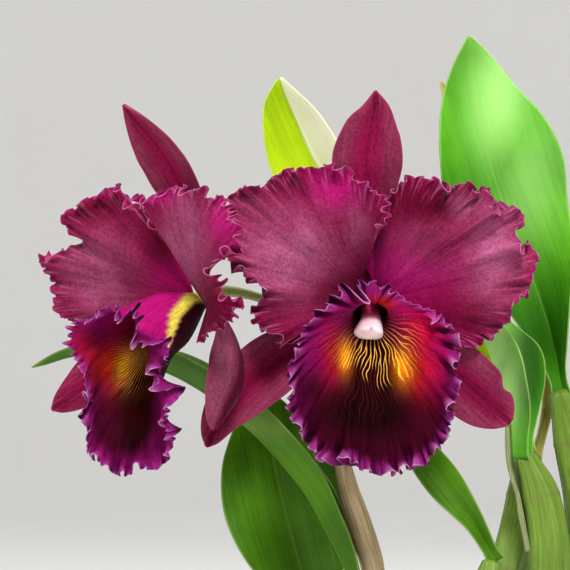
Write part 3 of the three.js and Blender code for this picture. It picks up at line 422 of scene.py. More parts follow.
def mesh_from(name, points, faces, values=None, uv=None):
    """A mesh in metres from points in millimetres, with its named values and its own UV map."""
    mesh = bpy.data.meshes.new(name)
    polygons = [tuple(dict.fromkeys(face)) for face in faces.tolist()]
    mesh.from_pydata((np.asarray(points) * MM).tolist(), [], polygons)
    for key, value in (values or {}).items():
        mesh.attributes.new(key, "FLOAT", "POINT").data.foreach_set("value", value.astype(np.float32))
    if uv is not None:
        corners = np.zeros(len(mesh.loops), np.int32)
        mesh.loops.foreach_get("vertex_index", corners)
        mesh.uv_layers.new(name="surface").data.foreach_set("uv", uv[corners].astype(np.float32).ravel())
    mesh.update()
    return mesh


def grid_faces(columns, rows, start=0):
    """Quads of a grid whose points run by column and then by row."""
    i, j = np.meshgrid(np.arange(columns - 1), np.arange(rows - 1), indexing="ij")
    a = start + i * rows + j
    return np.stack([a, a + rows, a + rows + 1, a + 1], axis=-1).reshape(-1, 4)


def ring_faces(rows, sides, start=0):
    """Quads between rings of points, each ring closed on itself."""
    low = start + sides * np.arange(rows - 1)[:, None]
    here = np.arange(sides)
    after = (here + 1) % sides
    high = low + sides
    return np.stack([low + here, low + after, high + after, high + here], axis=-1).reshape(-1, 4)


def sheet_normals(grid):
    """Unit normals of a grid of points [column, row]."""
    return unit(np.cross(np.gradient(grid, axis=0), np.gradient(grid, axis=1)))


def sheet_mesh(name, grid, half, values):
    """A thin closed body round a grid of points. half is half its thickness in millimetres."""
    columns, rows = grid.shape[:2]
    normal = sheet_normals(grid)
    shift = normal * np.broadcast_to(half, (columns, rows))[..., None]
    points = np.concatenate([(grid + shift).reshape(-1, 3), (grid - shift).reshape(-1, 3)])
    count = columns * rows
    front = grid_faces(columns, rows)
    back = grid_faces(columns, rows, count)[:, ::-1]
    index = np.arange(count).reshape(columns, rows)
    ring = np.concatenate([index[:-1, 0], index[-1, :-1], index[:0:-1, -1], index[0, :0:-1]])
    after = np.roll(ring, -1)
    edge = np.stack([ring, ring + count, after + count, after], axis=-1)
    u, t = np.meshgrid(np.linspace(0, 1, columns), np.linspace(0, 1, rows), indexing="ij")
    named = {key: np.tile(np.broadcast_to(value, u.shape).ravel(), 2) for key, value in values.items()}
    named["inner"] = np.repeat([1.0, 0.0], count)
    uv = np.tile(np.stack([u.ravel(), t.ravel()], axis=-1), (2, 1))
    return mesh_from(name, points, np.concatenate([front, back, edge]), named, uv)


def rod(path, shares, sides, radii, reference=(0, -1, 0), stretch=1.0):
    """Rings of points round a path, and its two ends. radii(share, angle) gives each radius."""
    middle = path.at(shares)
    along = path.tangent(shares)
    side = unit(np.cross(along, np.asarray(reference, float)))
    front = unit(np.cross(side, along))
    angle = np.linspace(0, 2 * math.pi, sides, endpoint=False)
    r = radii(shares[:, None], angle[None, :]) * np.ones((len(shares), sides))
    across = (r * stretch * np.cos(angle))[..., None] * side[:, None, :]
    rings = middle[:, None, :] + across + (r * np.sin(angle))[..., None] * front[:, None, :]
    return rings, *path.at(np.array([0.0, 1.0]))


def rod_mesh(name, rods, values=None):
    """Closed round bodies from lists of (rings of points, foot, tip)."""
    points, faces, named, uv = [], [], {}, []
    start = 0
    for number, (rings, foot, tip) in enumerate(rods):
        rows, sides = rings.shape[:2]
        here = np.arange(sides)
        after = (here + 1) % sides
        last = start + (rows - 1) * sides
        pole = last + sides
        poles = np.full(sides, pole)
        points += [rings.reshape(-1, 3), np.array([foot, tip])]
        faces += [ring_faces(rows, sides, start),
                  np.stack([start + here, poles, start + after, start + after], axis=-1),
                  np.stack([last + here, last + after, poles + 1, poles + 1], axis=-1)]
        share, turn = np.meshgrid(np.linspace(0, 1, rows), np.linspace(0, 1, sides), indexing="ij")
        uv += [np.stack([turn.ravel(), share.ravel()], axis=-1), np.array([[0.5, 0], [0.5, 1]])]
        for key, value in (values[number] if values else {}).items():
            grid = np.broadcast_to(value, (rows, sides))
            named.setdefault(key, []).extend([grid.ravel(), [grid[0].mean(), grid[-1].mean()]])
        start = pole + 2
    named = {key: np.concatenate(parts) for key, parts in named.items()}
    mesh = mesh_from(name, np.concatenate(points), np.concatenate(faces), named, np.concatenate(uv))
    return outward(mesh)


def outward(mesh):
    """Turns a closed mesh's faces to look out, all together."""
    count = len(mesh.vertices)
    points = np.zeros(count * 3)
    mesh.vertices.foreach_get("co", points)
    mesh.calc_loop_triangles()
    corners = np.zeros(len(mesh.loop_triangles) * 3, np.int32)
    mesh.loop_triangles.foreach_get("vertices", corners)
    a, b, c = points.reshape(-1, 3)[corners.reshape(-1, 3)].transpose(1, 0, 2)
    if np.einsum("ij,ij->i", a, np.cross(b, c)).sum() < 0:
        mesh.flip_normals()
    return mesh


# ---------- plant surfaces


def eased_edge(rim, u, keep):
    """The edge at u, with its bays filled where keep is under 1."""
    step = np.minimum(np.minimum(0.03, u / 2), (1 - u) / 2)
    even = sum(rim.at(u + k * step) for k in (-2, -1, 0, 1, 2)) / 5
    return even + (rim.at(u) - even) * keep


def ruffle(distance, wavelength, seed):
    """A wave whose length drifts along the edge, with a shorter one on it."""
    k = 2 * math.pi / wavelength
    drift = 1.1 * np.sin(0.31 * k * distance + seed)
    return 0.72 * np.sin(k * distance + seed + drift) + 0.28 * np.sin(1.7 * k * distance + 2.1 * seed + 1)


def waved(flat, length, u, rows, shape):
    """The main waves of an edge, as in the solids, on a smooth surface flat(u, t)."""
    grid = np.zeros((len(u), len(rows), 3))
    ends = shape.get("ends", 0.1)
    distance = u * length
    wavelength = shape["wavelength"]
    seed = shape["seed"]
    free = shape["height"] * smooth(0, ends, u) * smooth(0, ends, 1 - u)
    fold = np.sin(2 * math.pi * distance / (2.6 * wavelength) + 1.7 * seed)
    for j, t in enumerate(rows):
        at = flat(u, t)
        if t >= 0.3:
            out = unit(at - flat(u, t - 0.1))
            if "facing" in shape:
                normal = unit(np.array(shape["facing"], float))[None, :]
            else:
                along = flat(np.minimum(u + 0.03, 1), t) - flat(np.maximum(u - 0.03, 0), t)
                normal = unit(np.cross(along, out))
            lift = t ** shape["reach"] * ruffle(distance, wavelength, seed) + 0.75 * t**3 * fold
            notch = 0.4 * t**8 * ruffle(distance, 0.8 * wavelength, seed + 2.3)
            at = at + normal * (free * lift)[:, None] + out * (free * notch)[:, None]
        grid[:, j] = at
    return grid


def petal_grid(shape, origin, columns, rows):
    """A fan from a short claw by the column out to the petal's edge."""
    rim = Path(shape["edge"], origin)
    foot, head = (np.array(p, float) + origin for p in shape["claw"])
    swell = np.array(shape["bulge"], float)

    def flat(u, t):
        edge = eased_edge(rim, u, float(smooth(0.4, 1, t)))
        base = foot + (head - foot) * u[:, None]
        dome = math.sin(math.pi * t) * np.sin(math.pi * u)
        return base + (edge - base) * t**0.9 + dome[:, None] * swell

    return waved(flat, rim.length, np.linspace(0, 1, columns), rows, shape), rim.length


def lip_grid(shape, origin, columns, rows):
    """A tube wrapped round the column that opens into a throat and spreads to its edge."""
    rim = Path(shape["edge"], origin)
    throat = 0.42
    swell = np.array(shape["swell"], float)

    def flat(u, t):
        angle = np.radians(88 - 356 * u)
        through = []
        for centre, axis, across, tall in shape["rings"]:
            along = unit(np.array(axis, float))
            right = unit(np.cross((0, 0, 1), along))
            above = np.cross(along, right)
            middle = np.array(centre, float) + origin
            wide = across * np.cos(angle)[:, None] * right
            through.append(middle + wide + tall * np.sin(angle)[:, None] * above)
        through.append(eased_edge(rim, u, float(smooth(0.5, 1, t))))
        spread = max((t - throat) / (1 - throat), 0)
        place = t / throat * 2 / 3 if t < throat else 2 / 3 + spread / 3
        push = math.sin(math.pi * spread) * smooth(0.08, 0.25, u) * smooth(0, 0.15, 1 - u)
        return catmull_rom(np.stack(through), place, False) + push[:, None] * swell

    return waved(flat, rim.length, np.linspace(0, 1, columns), rows, shape), rim.length


def edge_distance(grid):
    """Millimetres along each column from a point to the free edge."""
    steps = np.linalg.norm(np.diff(grid, axis=1), axis=-1)
    total = np.cumsum(steps[:, ::-1], axis=1)[:, ::-1]
    return np.concatenate([total, np.zeros((grid.shape[0], 1))], axis=1)


MOST_ROLL = 1.7  # radians that the edge may roll from the sheet


def frilled(grid, length, frill):
    """Ruffles a waved grid: towards its free edge the sheet rolls up and down, in several sorts of fold.

    Each sort is (wavelength, steepest roll in degrees, reach in from the edge, overhang). calm is the
    length over which the sheet's normals are evened, ends the share of the edge that fades out at both
    ends, and still a calmer stretch as (middle, half its width). Returns the ruffled grid and how far
    each point stands on a crest, -1 to 1.
    """
    columns, rows = grid.shape[:2]
    margin = edge_distance(grid)
    u = np.linspace(0, 1, columns)
    s = u * length
    normal = sheet_normals(grid)
    window = max(3, int(frill["calm"] / length * columns))
    kernel = np.hanning(window + 2)[1:-1]
    kernel /= kernel.sum()
    padded = np.concatenate([normal[:1].repeat(window, 0), normal, normal[-1:].repeat(window, 0)])
    for j in range(rows):
        for k in range(3):
            normal[:, j, k] = np.convolve(padded[:, j, k], kernel, "same")[window:-window]
    steps = np.diff(grid, axis=1)
    size = np.linalg.norm(steps, axis=-1, keepdims=True)
    out = unit(steps)
    side = unit(np.cross(out, unit(normal[:, 1:])))
    up = np.cross(side, out)
    free = smooth(0, frill["ends"], u) * smooth(0, frill["ends"], 1 - u)
    middle, half = frill.get("still", (-1, 0))
    free *= 1 - 0.8 * smooth(half + 0.02, half, np.abs(u - middle))
    roll = np.zeros((columns, rows))
    slide = np.zeros((columns, rows))
    crest = np.zeros((columns, rows))
    for number, (wavelength, steep, reach, overhang) in enumerate(frill["sorts"]):
        seed = frill["seed"] * 10 + number
        drift = 2.7 * wander(s, 2.6 * wavelength, seed)
        drift += 0.6 * np.sin(2 * math.pi * s / (5 * wavelength))
        strength = free * (0.72 + 0.5 * wander(s, 1.9 * wavelength, seed + 100))
        depth = reach * (1 + 0.35 * wander(s, 2.3 * wavelength, seed + 200))[:, None]
        grow = smooth(1, -0.1, margin / depth)
        lean = 1.4 * overhang * wander(s, 3.1 * wavelength, seed + 300)
        phase = (2 * math.pi * s / wavelength + drift)[:, None] + lean[:, None] * grow
        roll += math.radians(steep) * strength[:, None] * grow * np.sin(phase)
        slide -= 0.11 * wavelength * overhang * strength[:, None] * grow**2 * np.sin(2 * phase)
        crest += steep * strength[:, None] * grow * np.sin(phase)
    crest /= sum(sort[1] for sort in frill["sorts"])
    roll = MOST_ROLL * np.tanh(roll / MOST_ROLL)[:, 1:, None]
    # A rolled sheet reaches less far, so it is cut a little longer and keeps its outline.
    path = size * (1 + 0.33 * roll**2) * (out * np.cos(roll) + up * np.sin(roll))
    moved = np.concatenate([grid[:, :1], grid[:, :1] + np.cumsum(path, axis=1)], axis=1)
    moved[:, 1:] += side * slide[:, 1:, None]
    teeth = wander(s, 2.2, frill["seed"] + 500) * 0.7 + wander(s, 4.6, frill["seed"] + 501)
    nick = frill["teeth"] * (free * teeth)[:, None] * smooth(3, 0, margin) ** 2
    moved[:, 1:] += out * nick[:, 1:, None]
    return moved, np.clip(2.2 * crest, -1, 1)


def blade_grid(shape, columns, rows, origin=(0, 0, 0)):
    """A folded blade along its spine."""
    path = Path(shape["spine"], origin)
    t = 1 - (1 - np.linspace(0, 1, rows)) ** 1.3
    x = np.linspace(-1, 1, columns)[:, None]
    along = path.tangent(t)
    towards = heading(shape["face"], t)
    towards = unit(towards - along * np.einsum("ij,ij->i", towards, along)[:, None])
    side = np.cross(along, towards)
    width = np.maximum(profile(shape["width"], t), 0.05)
    angle = np.radians(profile(shape["fold"], t))
    rise = (np.sqrt(x * x + 0.015) - math.sqrt(0.015)) * np.sin(angle)
    beat = np.sin(shape.get("waves", 3) * 2 * math.pi * t + np.where(x > 0, 2, 0))
    ripple = shape.get("wave", 0) * smooth(0.3, 1, np.abs(x)) * beat * np.sin(math.pi * t)
    lift = width * rise + ripple
    across = (x * width * np.cos(angle))[..., None] * side[None]
    grid = path.at(t)[None] + across + lift[..., None] * towards[None]
    return grid, t, x, width, path.length


# ---------- finishes in nodes

MIX = "ShaderNodeMix"
MAP = "ShaderNodeMapRange"  # value, from low, from high, to low, to high
MATH = "ShaderNodeMath"
NOISE = "ShaderNodeTexNoise"
READ = "ShaderNodeAttribute"
COMBINE = "ShaderNodeCombineXYZ"
FACTOR, A, B, MIXED = 0, 6, 7, 2  # sockets of a Mix node that mixes colours
BLEND = {"data_type": "RGBA"}
SOFT = {"interpolation_type": "SMOOTHSTEP"}


def linear(code):
    """An sRGB hex colour as linear light."""
    parts = [int(code[k:k + 2], 16) / 255 for k in (1, 3, 5)]
    return tuple(c / 12.92 if c <= 0.04045 else ((c + 0.055) / 1.055) ** 2.4 for c in parts) + (1.0,)


def add(tree, kind, links=(), out=0, **settings):
    """Adds a node. links gives its inputs in order or by name, as sockets or values, and out names the
    output handed back.
    """
    node = tree.nodes.new(kind)
    for name, value in settings.items():
        setattr(node, name, value)
    for key, value in links.items() if isinstance(links, dict) else enumerate(links):
        if isinstance(value, bpy.types.NodeSocket):
            tree.links.new(value, node.inputs[key])
        else:
            node.inputs[key].default_value = value
    return node.outputs[out] if len(node.outputs) else node


def new_finish(name):
    """A new material, its empty tree and the place on the piece that its patterns start from."""
    material = bpy.data.materials.new(name)
    material.use_nodes = True
    tree = material.node_tree
    tree.nodes.clear()
    return material, tree, add(tree, "ShaderNodeTexCoord", out="Object")


def per_metre(millimetres):
    """The scale that gives a texture on metres a feature of this size."""
    return 1000 / millimetres


def grained(tree, colour, *grains):
    """Darkens and lightens a colour by grains, each a 0 to 1 value and how strongly it acts."""
    level = 1 - sum(strength for _, strength in grains)
    for grain, strength in grains:
        level = add(tree, MATH, [grain, 2 * strength, level], operation="MULTIPLY_ADD")
    return add(tree, MIX, {FACTOR: 1.0, A: colour, B: level}, MIXED, blend_type="MULTIPLY", **BLEND)


def layered(tree, base, *coats):
    """Lays coats of colour over a base, each a mask and a colour. A colour is a hex value or a socket."""
    base = linear(base) if isinstance(base, str) else base
    for mask, coat in coats:
        coat = linear(coat) if isinstance(coat, str) else coat
        base = add(tree, MIX, {FACTOR: mask, A: base, B: coat}, MIXED, **BLEND)
    return base


def show(tree, base, rough, more, height=None, depth=0.3):
    """Ends a finish: its shader, with a bump from height that is depth millimetres deep."""
    inputs = {"Base Color": base, "Roughness": rough, **more}
    if height is not None:
        bump = add(tree, "ShaderNodeBump", {"Height": height, "Distance": depth * MM, "Strength": 1.0})
        inputs["Normal"] = bump
    shader = add(tree, "ShaderNodeBsdfPrincipled", inputs)
    add(tree, "ShaderNodeOutputMaterial", {"Surface": shader})


def petal_finish(name, colours):
    # A cattleya petal: small domed cells give a crimson-magenta velvet under a painted pinkish-grey sheen
    # where they would catch the light, painted shade in set patches and in the fold valleys, painted
    # highlight on the fold crests and along the pleats near the edge, hair-fine veins that run out from
    # the claw and a pale lilac edge that is brightened as painted highlight on the crests.
    material, tree, place = new_finish(name)
    value = {k: add(tree, READ, out="Fac", attribute_name=k)
             for k in ("painted_sheen", "glow", "deep", "vein", "reach", "margin", "crest")}
    clouds = add(tree, NOISE, {"Vector": place, "Scale": per_metre(13), "Detail": 3}, "Fac")
    mottle = add(tree, NOISE,
                 {"Vector": place, "Scale": per_metre(1.5), "Detail": 3, "Roughness": 0.65}, "Fac")
    # Veins about 1.7 mm apart at the edge, drawn as noise stretched along the petal.
    along = add(tree, MATH, [value["reach"], 3.2], operation="MULTIPLY")
    lines = add(tree, COMBINE, {"X": value["vein"], "Y": along})
    streak = add(tree, NOISE, {"Vector": lines, "Scale": 1, "Detail": 3}, "Fac")
    coarse = add(tree, NOISE, {"Vector": lines, "Scale": 0.28, "Detail": 2}, "Fac")
    streak = add(tree, MAP, [streak, 0.3, 0.7])
    coarse = add(tree, MAP, [coarse, 0.3, 0.7])
    mottle = add(tree, MAP, [mottle, 0.32, 0.68])
    base = layered(tree, colours["deep"], (clouds, colours["main"]), (value["glow"], colours["hot"]))
    cloudy = add(tree, MAP, [clouds, 0.3, 0.7, 0.55, 1.1])
    # Painted sheen: a pale pinkish grey laid over the velvet in set patches, as if its cells caught the
    # light; the deep patches then lay on painted shade.
    painted_sheen = add(tree, MATH, [value["painted_sheen"], cloudy], operation="MULTIPLY", use_clamp=True)
    base = layered(tree, base, (painted_sheen, colours["painted_sheen"]), (value["deep"], colours["shade"]))
    # The crest grain is painted shade in the fold valleys and painted highlight on the fold crests.
    crest = add(tree, MAP, [value["crest"], -1])
    base = grained(tree, base, (streak, 0.14), (coarse, 0.14), (mottle, 0.3), (crest, 0.26))
    # Towards the edge the tissue is crinkled; the light its pleats catch is painted on as pale silky
    # highlight lines.
    painted_pleat_highlight = add(tree, MAP, [streak, 0.5, 0.95], **SOFT)
    outer = add(tree, MAP, [value["margin"], 16, 2, 0, 0.45], **SOFT)
    painted_pleat_highlight = add(tree, MATH, [painted_pleat_highlight, outer], operation="MULTIPLY")
    base = layered(tree, base, (painted_pleat_highlight, colours["painted_fold_highlight"]))
    fringe = add(tree, MAP, [value["margin"], 3.5, 0.3, 0, 0.4], **SOFT)
    base = layered(tree, base, (fringe, colours["fringe"]))
    # The pale edge is partly the petal's own lilac rim and partly painted highlight, strongest on the
    # crests.
    broken = add(tree, MAP, [crest, 0.4, 1, 0.1, 0.45])
    rim = add(tree, MAP, [value["margin"], 0.6, 0.15, 0, broken], **SOFT)
    base = layered(tree, base, (rim, colours["rim"]))
    height = add(tree, MATH, [streak, mottle], operation="ADD")
    rough = add(tree, MAP, [mottle, 0, 1, 0.55, 0.72])
    show(tree, base, rough, {"IOR": 1.42, "Specular IOR Level": 0.04,
                "Sheen Weight": 0.02, "Sheen Roughness": 0.4, "Sheen Tint": linear("#f08cc0")},
         height, 0.2)
    return material


def lip_finish(name, colours):
    # The lip: near-black maroon velvet in the throat crossed by forked gold veins, a golden eye on each
    # side with a red halo, purple-magenta folds and a lilac-white frill; painted shade darkens the fold
    # valleys and painted highlight lightens the crests and the frill's edge. Outside, the tube is hot
    # magenta with a yellow band, and darker maroon beyond the band.
    material, tree, place = new_finish(name)
    value = {k: add(tree, READ, out="Fac", attribute_name=k)
             for k in ("throat", "eye", "scarlet", "rosy", "pink", "velvet", "veined", "ray", "span",
                       "vein", "reach", "margin", "inner", "band", "dark_beyond_band", "crest")}
    clouds = add(tree, NOISE, {"Vector": place, "Scale": per_metre(8), "Detail": 3}, "Fac")
    mottle = add(tree, NOISE,
                 {"Vector": place, "Scale": per_metre(1.3), "Detail": 3, "Roughness": 0.65}, "Fac")
    along = add(tree, MATH, [value["reach"], 3.0], operation="MULTIPLY")
    lines = add(tree, COMBINE, {"X": value["vein"], "Y": along})
    streak = add(tree, NOISE, {"Vector": lines, "Scale": 0.8, "Detail": 3}, "Fac")
    streak = add(tree, MAP, [streak, 0.3, 0.7])
    mottle = add(tree, MAP, [mottle, 0.32, 0.68])

    # Gold veins: one to each cell of the ray count, each forking at its own distance.
    bend = add(tree, NOISE, {"Vector": place, "Scale": per_metre(16), "Detail": 1}, "Fac")
    wobble = add(tree, MATH, [bend, 2.4, value["ray"]], operation="MULTIPLY_ADD")
    cell = add(tree, MATH, [wobble], operation="FLOOR")
    chance = add(tree, "ShaderNodeTexWhiteNoise", {"W": cell}, "Value", noise_dimensions="1D")
    within = add(tree, MATH, [wobble], operation="FRACT")
    within = add(tree, MATH, [within, 0.5], operation="SUBTRACT")
    within = add(tree, MATH, [within], operation="ABSOLUTE")
    fork = add(tree, MAP, [chance, 0, 1, 11, 20])
    beyond = add(tree, MATH, [value["span"], fork], operation="SUBTRACT")
    beyond = add(tree, MATH, [beyond, 0.0], operation="MAXIMUM")
    spread = add(tree, MATH, [beyond, 0.05], operation="MULTIPLY")
    spread = add(tree, MATH, [spread, 0.27], operation="MINIMUM")
    from_line = add(tree, MATH, [within, spread], operation="SUBTRACT")
    from_line = add(tree, MATH, [from_line], operation="ABSOLUTE")
    # A vein is about 0.55 mm wide, wider in the eyes, so its share of a cell shrinks with distance.
    wide = add(tree, MATH, [value["eye"], 0.5, 0.42], operation="MULTIPLY_ADD")
    half = add(tree, MATH, [value["span"], 2.0], operation="MAXIMUM")
    half = add(tree, MATH, [2.2, half], operation="DIVIDE")
    half = add(tree, MATH, [half, wide], operation="MULTIPLY")
    soft = add(tree, MATH, [half, 1.9], operation="MULTIPLY")
    line = add(tree, MAP, [from_line, soft, half], **SOFT)
    end = add(tree, MAP, [chance, 0, 1, 22, 36])
    end = add(tree, MATH, [value["eye"], 12.0, end], operation="MULTIPLY_ADD")
    fade = add(tree, MATH, [value["span"], end], operation="SUBTRACT")
    fade = add(tree, MAP, [fade, 1.5, -4], **SOFT)
    past = add(tree, MAP, [value["span"], 56, 30, 0, 0.4])
    ember = add(tree, MATH, [line, past], operation="MULTIPLY")
    ember = add(tree, MATH, [ember, value["throat"]], operation="MULTIPLY", use_clamp=True)
    line = add(tree, MATH, [line, fade], operation="MULTIPLY")
    line = add(tree, MATH, [line, value["veined"]], operation="MULTIPLY", use_clamp=True)

    crest = add(tree, MAP, [value["crest"], -1])
    gold = layered(tree, colours["vein"], (value["eye"], colours["gold"]))
    masks = ("pink", "velvet", "rosy", "scarlet", "throat", "eye")
    tints = [(value[mask], colours[mask]) for mask in masks]
    base = layered(tree, colours["folds"], (clouds, colours["main"]), *tints, (ember, colours["ember"]),
                   (line, gold))
    outside = layered(tree, colours["outside"], (clouds, colours["hot"]),
                      (value["dark_beyond_band"], colours["dark_beyond_band"]), (value["band"], colours["band"]))
    # The blade shows the same purple on both sides; only the tube has an outside of its own.
    shown = add(tree, MAP, [value["reach"], 0.58, 0.74], **SOFT)
    shown = add(tree, MATH, [shown, value["inner"]], operation="MAXIMUM")
    base = layered(tree, outside, (shown, base))
    fringe = add(tree, MAP, [value["margin"], 8.5, 1, 0, 0.75], **SOFT)
    # Painted highlight on the crests of the frill.
    painted_crest_highlight = add(tree, MAP, [crest, 0.58, 0.95, 0, 0.5])
    fold = layered(tree, colours["fringe"], (painted_crest_highlight, colours["painted_fold_highlight"]))
    base = layered(tree, base, (fringe, fold))
    # Painted shade in the fold valleys.
    painted_fold_shade = add(tree, MAP, [crest, 0.52, 0.05, 0, 0.9], **SOFT)
    base = layered(tree, base, (painted_fold_shade, colours["painted_fold_shade"]))
    # The crest grain is painted shade in the valleys and painted highlight on the crests.
    base = grained(tree, base, (streak, 0.24), (mottle, 0.24), (crest, 0.2))
    # The pale edge is partly the lip's own lilac margin and partly painted highlight, strongest on the
    # crests.
    broken = add(tree, MAP, [crest, 0.4, 0.95, 0.04, 0.65])
    rim = add(tree, MAP, [value["margin"], 1, 0.15, 0, broken], **SOFT)
    base = layered(tree, base, (rim, colours["rim"]))
    height = add(tree, MATH, [streak, mottle], operation="ADD")
    rough = add(tree, MAP, [mottle, 0, 1, 0.5, 0.66])
    show(tree, base, rough, {"IOR": 1.42, "Specular IOR Level": 0.03}, height, 0.2)
    return material


def column_finish(name):
    # The column: smooth waxy tissue, pinkish white with a magenta flush towards its top and foot.
    material, tree, place = new_finish(name)
    flush = add(tree, READ, out="Fac", attribute_name="flush")
    dot = add(tree, READ, out="Fac", attribute_name="dot")
    clouds = add(tree, NOISE, {"Vector": place, "Scale": per_metre(5), "Detail": 4}, "Fac")
    grain = add(tree, NOISE, {"Vector": place, "Scale": per_metre(0.8), "Detail": 3}, "Fac")
    uneven = add(tree, MATH, [clouds, 0.5, flush], operation="MULTIPLY_ADD")
    uneven = add(tree, MAP, [uneven, 0.25, 1.2])
    base = layered(tree, "#f4dfe4", (uneven, "#c42c66"))
    base = grained(tree, base, (grain, 0.18))
    base = layered(tree, base, (dot, "#5c1a38"))
    rough = add(tree, MAP, [grain, 0, 1, 0.32, 0.46])
    show(tree, base, rough, {"IOR": 1.44, "Subsurface Weight": 0.15,
                "Subsurface Radius": (0.006, 0.003, 0.003), "Subsurface Scale": 1.0}, grain, 0.08)
    return material


def leaf_finish(name, colours):
    # A leathery strap leaf under a waxy cuticle: fine parallel veins, a sunken midrib, a hard pale
    # margin, a tone that shifts in broad patches, and painted highlight and painted shade laid on in set
    # patches.
    material, tree, place = new_finish(name)
    value = {k: add(tree, READ, out="Fac", attribute_name=k)
             for k in ("across", "run", "edge", "light", "painted_shade")}
    patches = add(tree, NOISE, {"Vector": place, "Scale": per_metre(38), "Detail": 3}, "Fac")
    cells = add(tree, NOISE, {"Vector": place, "Scale": per_metre(1.2), "Detail": 2}, "Fac")
    # Veins about 1.6 mm apart; the real ones are nearer 1 mm and would not show.
    side = add(tree, MATH, [value["across"], 1 / 1.6], operation="MULTIPLY")
    along = add(tree, MATH, [value["run"], 1 / 70], operation="MULTIPLY")
    lines = add(tree, COMBINE, {"X": side, "Y": along})
    veins = add(tree, NOISE, {"Vector": lines, "Scale": 1, "Detail": 3}, "Fac")
    broad = add(tree, NOISE, {"Vector": lines, "Scale": 0.3, "Detail": 2}, "Fac")
    veins = add(tree, MAP, [veins, 0.3, 0.7])
    broad = add(tree, MAP, [broad, 0.3, 0.7])
    tone = add(tree, MAP, [patches, 0.35, 0.65])
    # The darker patches are painted shade.
    base = layered(tree, colours["shade"], (tone, colours["main"]), (value["painted_shade"], colours["painted_shade"]))
    base = grained(tree, base, (veins, 0.11), (broad, 0.12), (cells, 0.12))
    # The light patches are painted highlight, laid on after the grain.
    base = layered(tree, base, (value["light"], colours["light"]))
    middle = add(tree, MATH, [value["across"]], operation="ABSOLUTE")
    rib = add(tree, MAP, [middle, 1.3, 0.3, 0, 0.25], **SOFT)
    base = layered(tree, base, (rib, colours["rib"]))
    margin = add(tree, MAP, [value["edge"], 0.9, 0.3, 0, 0.5], **SOFT)
    base = layered(tree, base, (margin, colours["margin"]))
    rough = add(tree, MAP, [cells, 0, 1, 0.36, 0.55])
    show(tree, base, rough, {"IOR": 1.45, "Specular IOR Level": 0.16}, veins, 0.12)
    return material


def bulb_finish(name):
    # A pseudobulb: hard glossy rind, yellow-green, with lengthwise grooves, a brown scar ring at each
    # node and the silvery-tan shreds of old sheaths low down.
    material, tree, place = new_finish(name)
    value = {k: add(tree, READ, out="Fac", attribute_name=k) for k in ("turn", "run", "share", "ring")}
    patches = add(tree, NOISE, {"Vector": place, "Scale": per_metre(18), "Detail": 4}, "Fac")
    along = add(tree, MATH, [value["run"], 1 / 28], operation="MULTIPLY")
    lines = add(tree, COMBINE, {"X": value["turn"], "Y": along})
    fibre = add(tree, NOISE, {"Vector": lines, "Scale": 1, "Detail": 4}, "Fac")
    fibre = add(tree, MAP, [fibre, 0.3, 0.7])
    base = layered(tree, "#4e6c1a", (patches, "#7c9a38"))
    ragged = add(tree, MATH, [fibre, 0.35, value["share"]], operation="MULTIPLY_ADD")
    paper = add(tree, MAP, [ragged, 0.52, 0.4, 0, 0.92], **SOFT)
    dry = layered(tree, "#8a7350", (fibre, "#cdbf9c"))
    base = layered(tree, base, (paper, dry), (value["ring"], "#6f6a34"))
    base = grained(tree, base, (fibre, 0.25))
    rough = add(tree, MAP, [paper, 0, 1, 0.36, 0.75])
    show(tree, base, rough, {"IOR": 1.45, "Specular IOR Level": 0.3}, fibre, 0.35)
    return material


def sheath_finish(name, pale, dark):
    # Dried papery bract: matt, lengthwise fibres, darker at its torn edge.
    material, tree, place = new_finish(name)
    value = {k: add(tree, READ, out="Fac", attribute_name=k) for k in ("turn", "run", "edge")}
    patches = add(tree, NOISE, {"Vector": place, "Scale": per_metre(9), "Detail": 4}, "Fac")
    along = add(tree, MATH, [value["run"], 1 / 30], operation="MULTIPLY")
    lines = add(tree, COMBINE, {"X": value["turn"], "Y": along})
    fibre = add(tree, NOISE, {"Vector": lines, "Scale": 1, "Detail": 4}, "Fac")
    fibre = add(tree, MAP, [fibre, 0.3, 0.7])
    base = layered(tree, dark, (patches, pale))
    base = grained(tree, base, (fibre, 0.45))
    torn = add(tree, MAP, [value["edge"], 1.4, 0.2, 0, 0.6])
    base = layered(tree, base, (torn, "#7d6544"))
    rough = add(tree, MAP, [fibre, 0, 1, 0.6, 0.85])
    show(tree, base, rough, {"IOR": 1.4}, fibre, 0.2)
    return material


def stalk_finish(name):
    # The flower stalk: smooth green skin flushed reddish, with pale pin-prick pores.
    material, tree, place = new_finish(name)
    flush = add(tree, NOISE, {"Vector": place, "Scale": per_metre(16), "Detail": 3}, "Fac")
    pores = add(tree, "ShaderNodeTexVoronoi", {"Vector": place, "Scale": per_metre(2.2)}, "Distance")
    stretch = add(tree, "ShaderNodeMapping", {"Vector": place, "Scale": (700.0, 700.0, 60.0)})
    fibre = add(tree, NOISE, {"Vector": stretch, "Scale": 1, "Detail": 3}, "Fac")
    flush = add(tree, MAP, [flush, 0.4, 0.75, 0, 0.6])
    base = layered(tree, "#87a04a", (flush, "#9c7a52"))
    base = grained(tree, base, (fibre, 0.3))
    pore = add(tree, MAP, [pores, 0.16, 0.08, 0, 0.5])
    base = layered(tree, base, (pore, "#d5dbb0"))
    rough = add(tree, MAP, [fibre, 0, 1, 0.38, 0.52])
    show(tree, base, rough, {"IOR": 1.44}, fibre, 0.1)
    return material


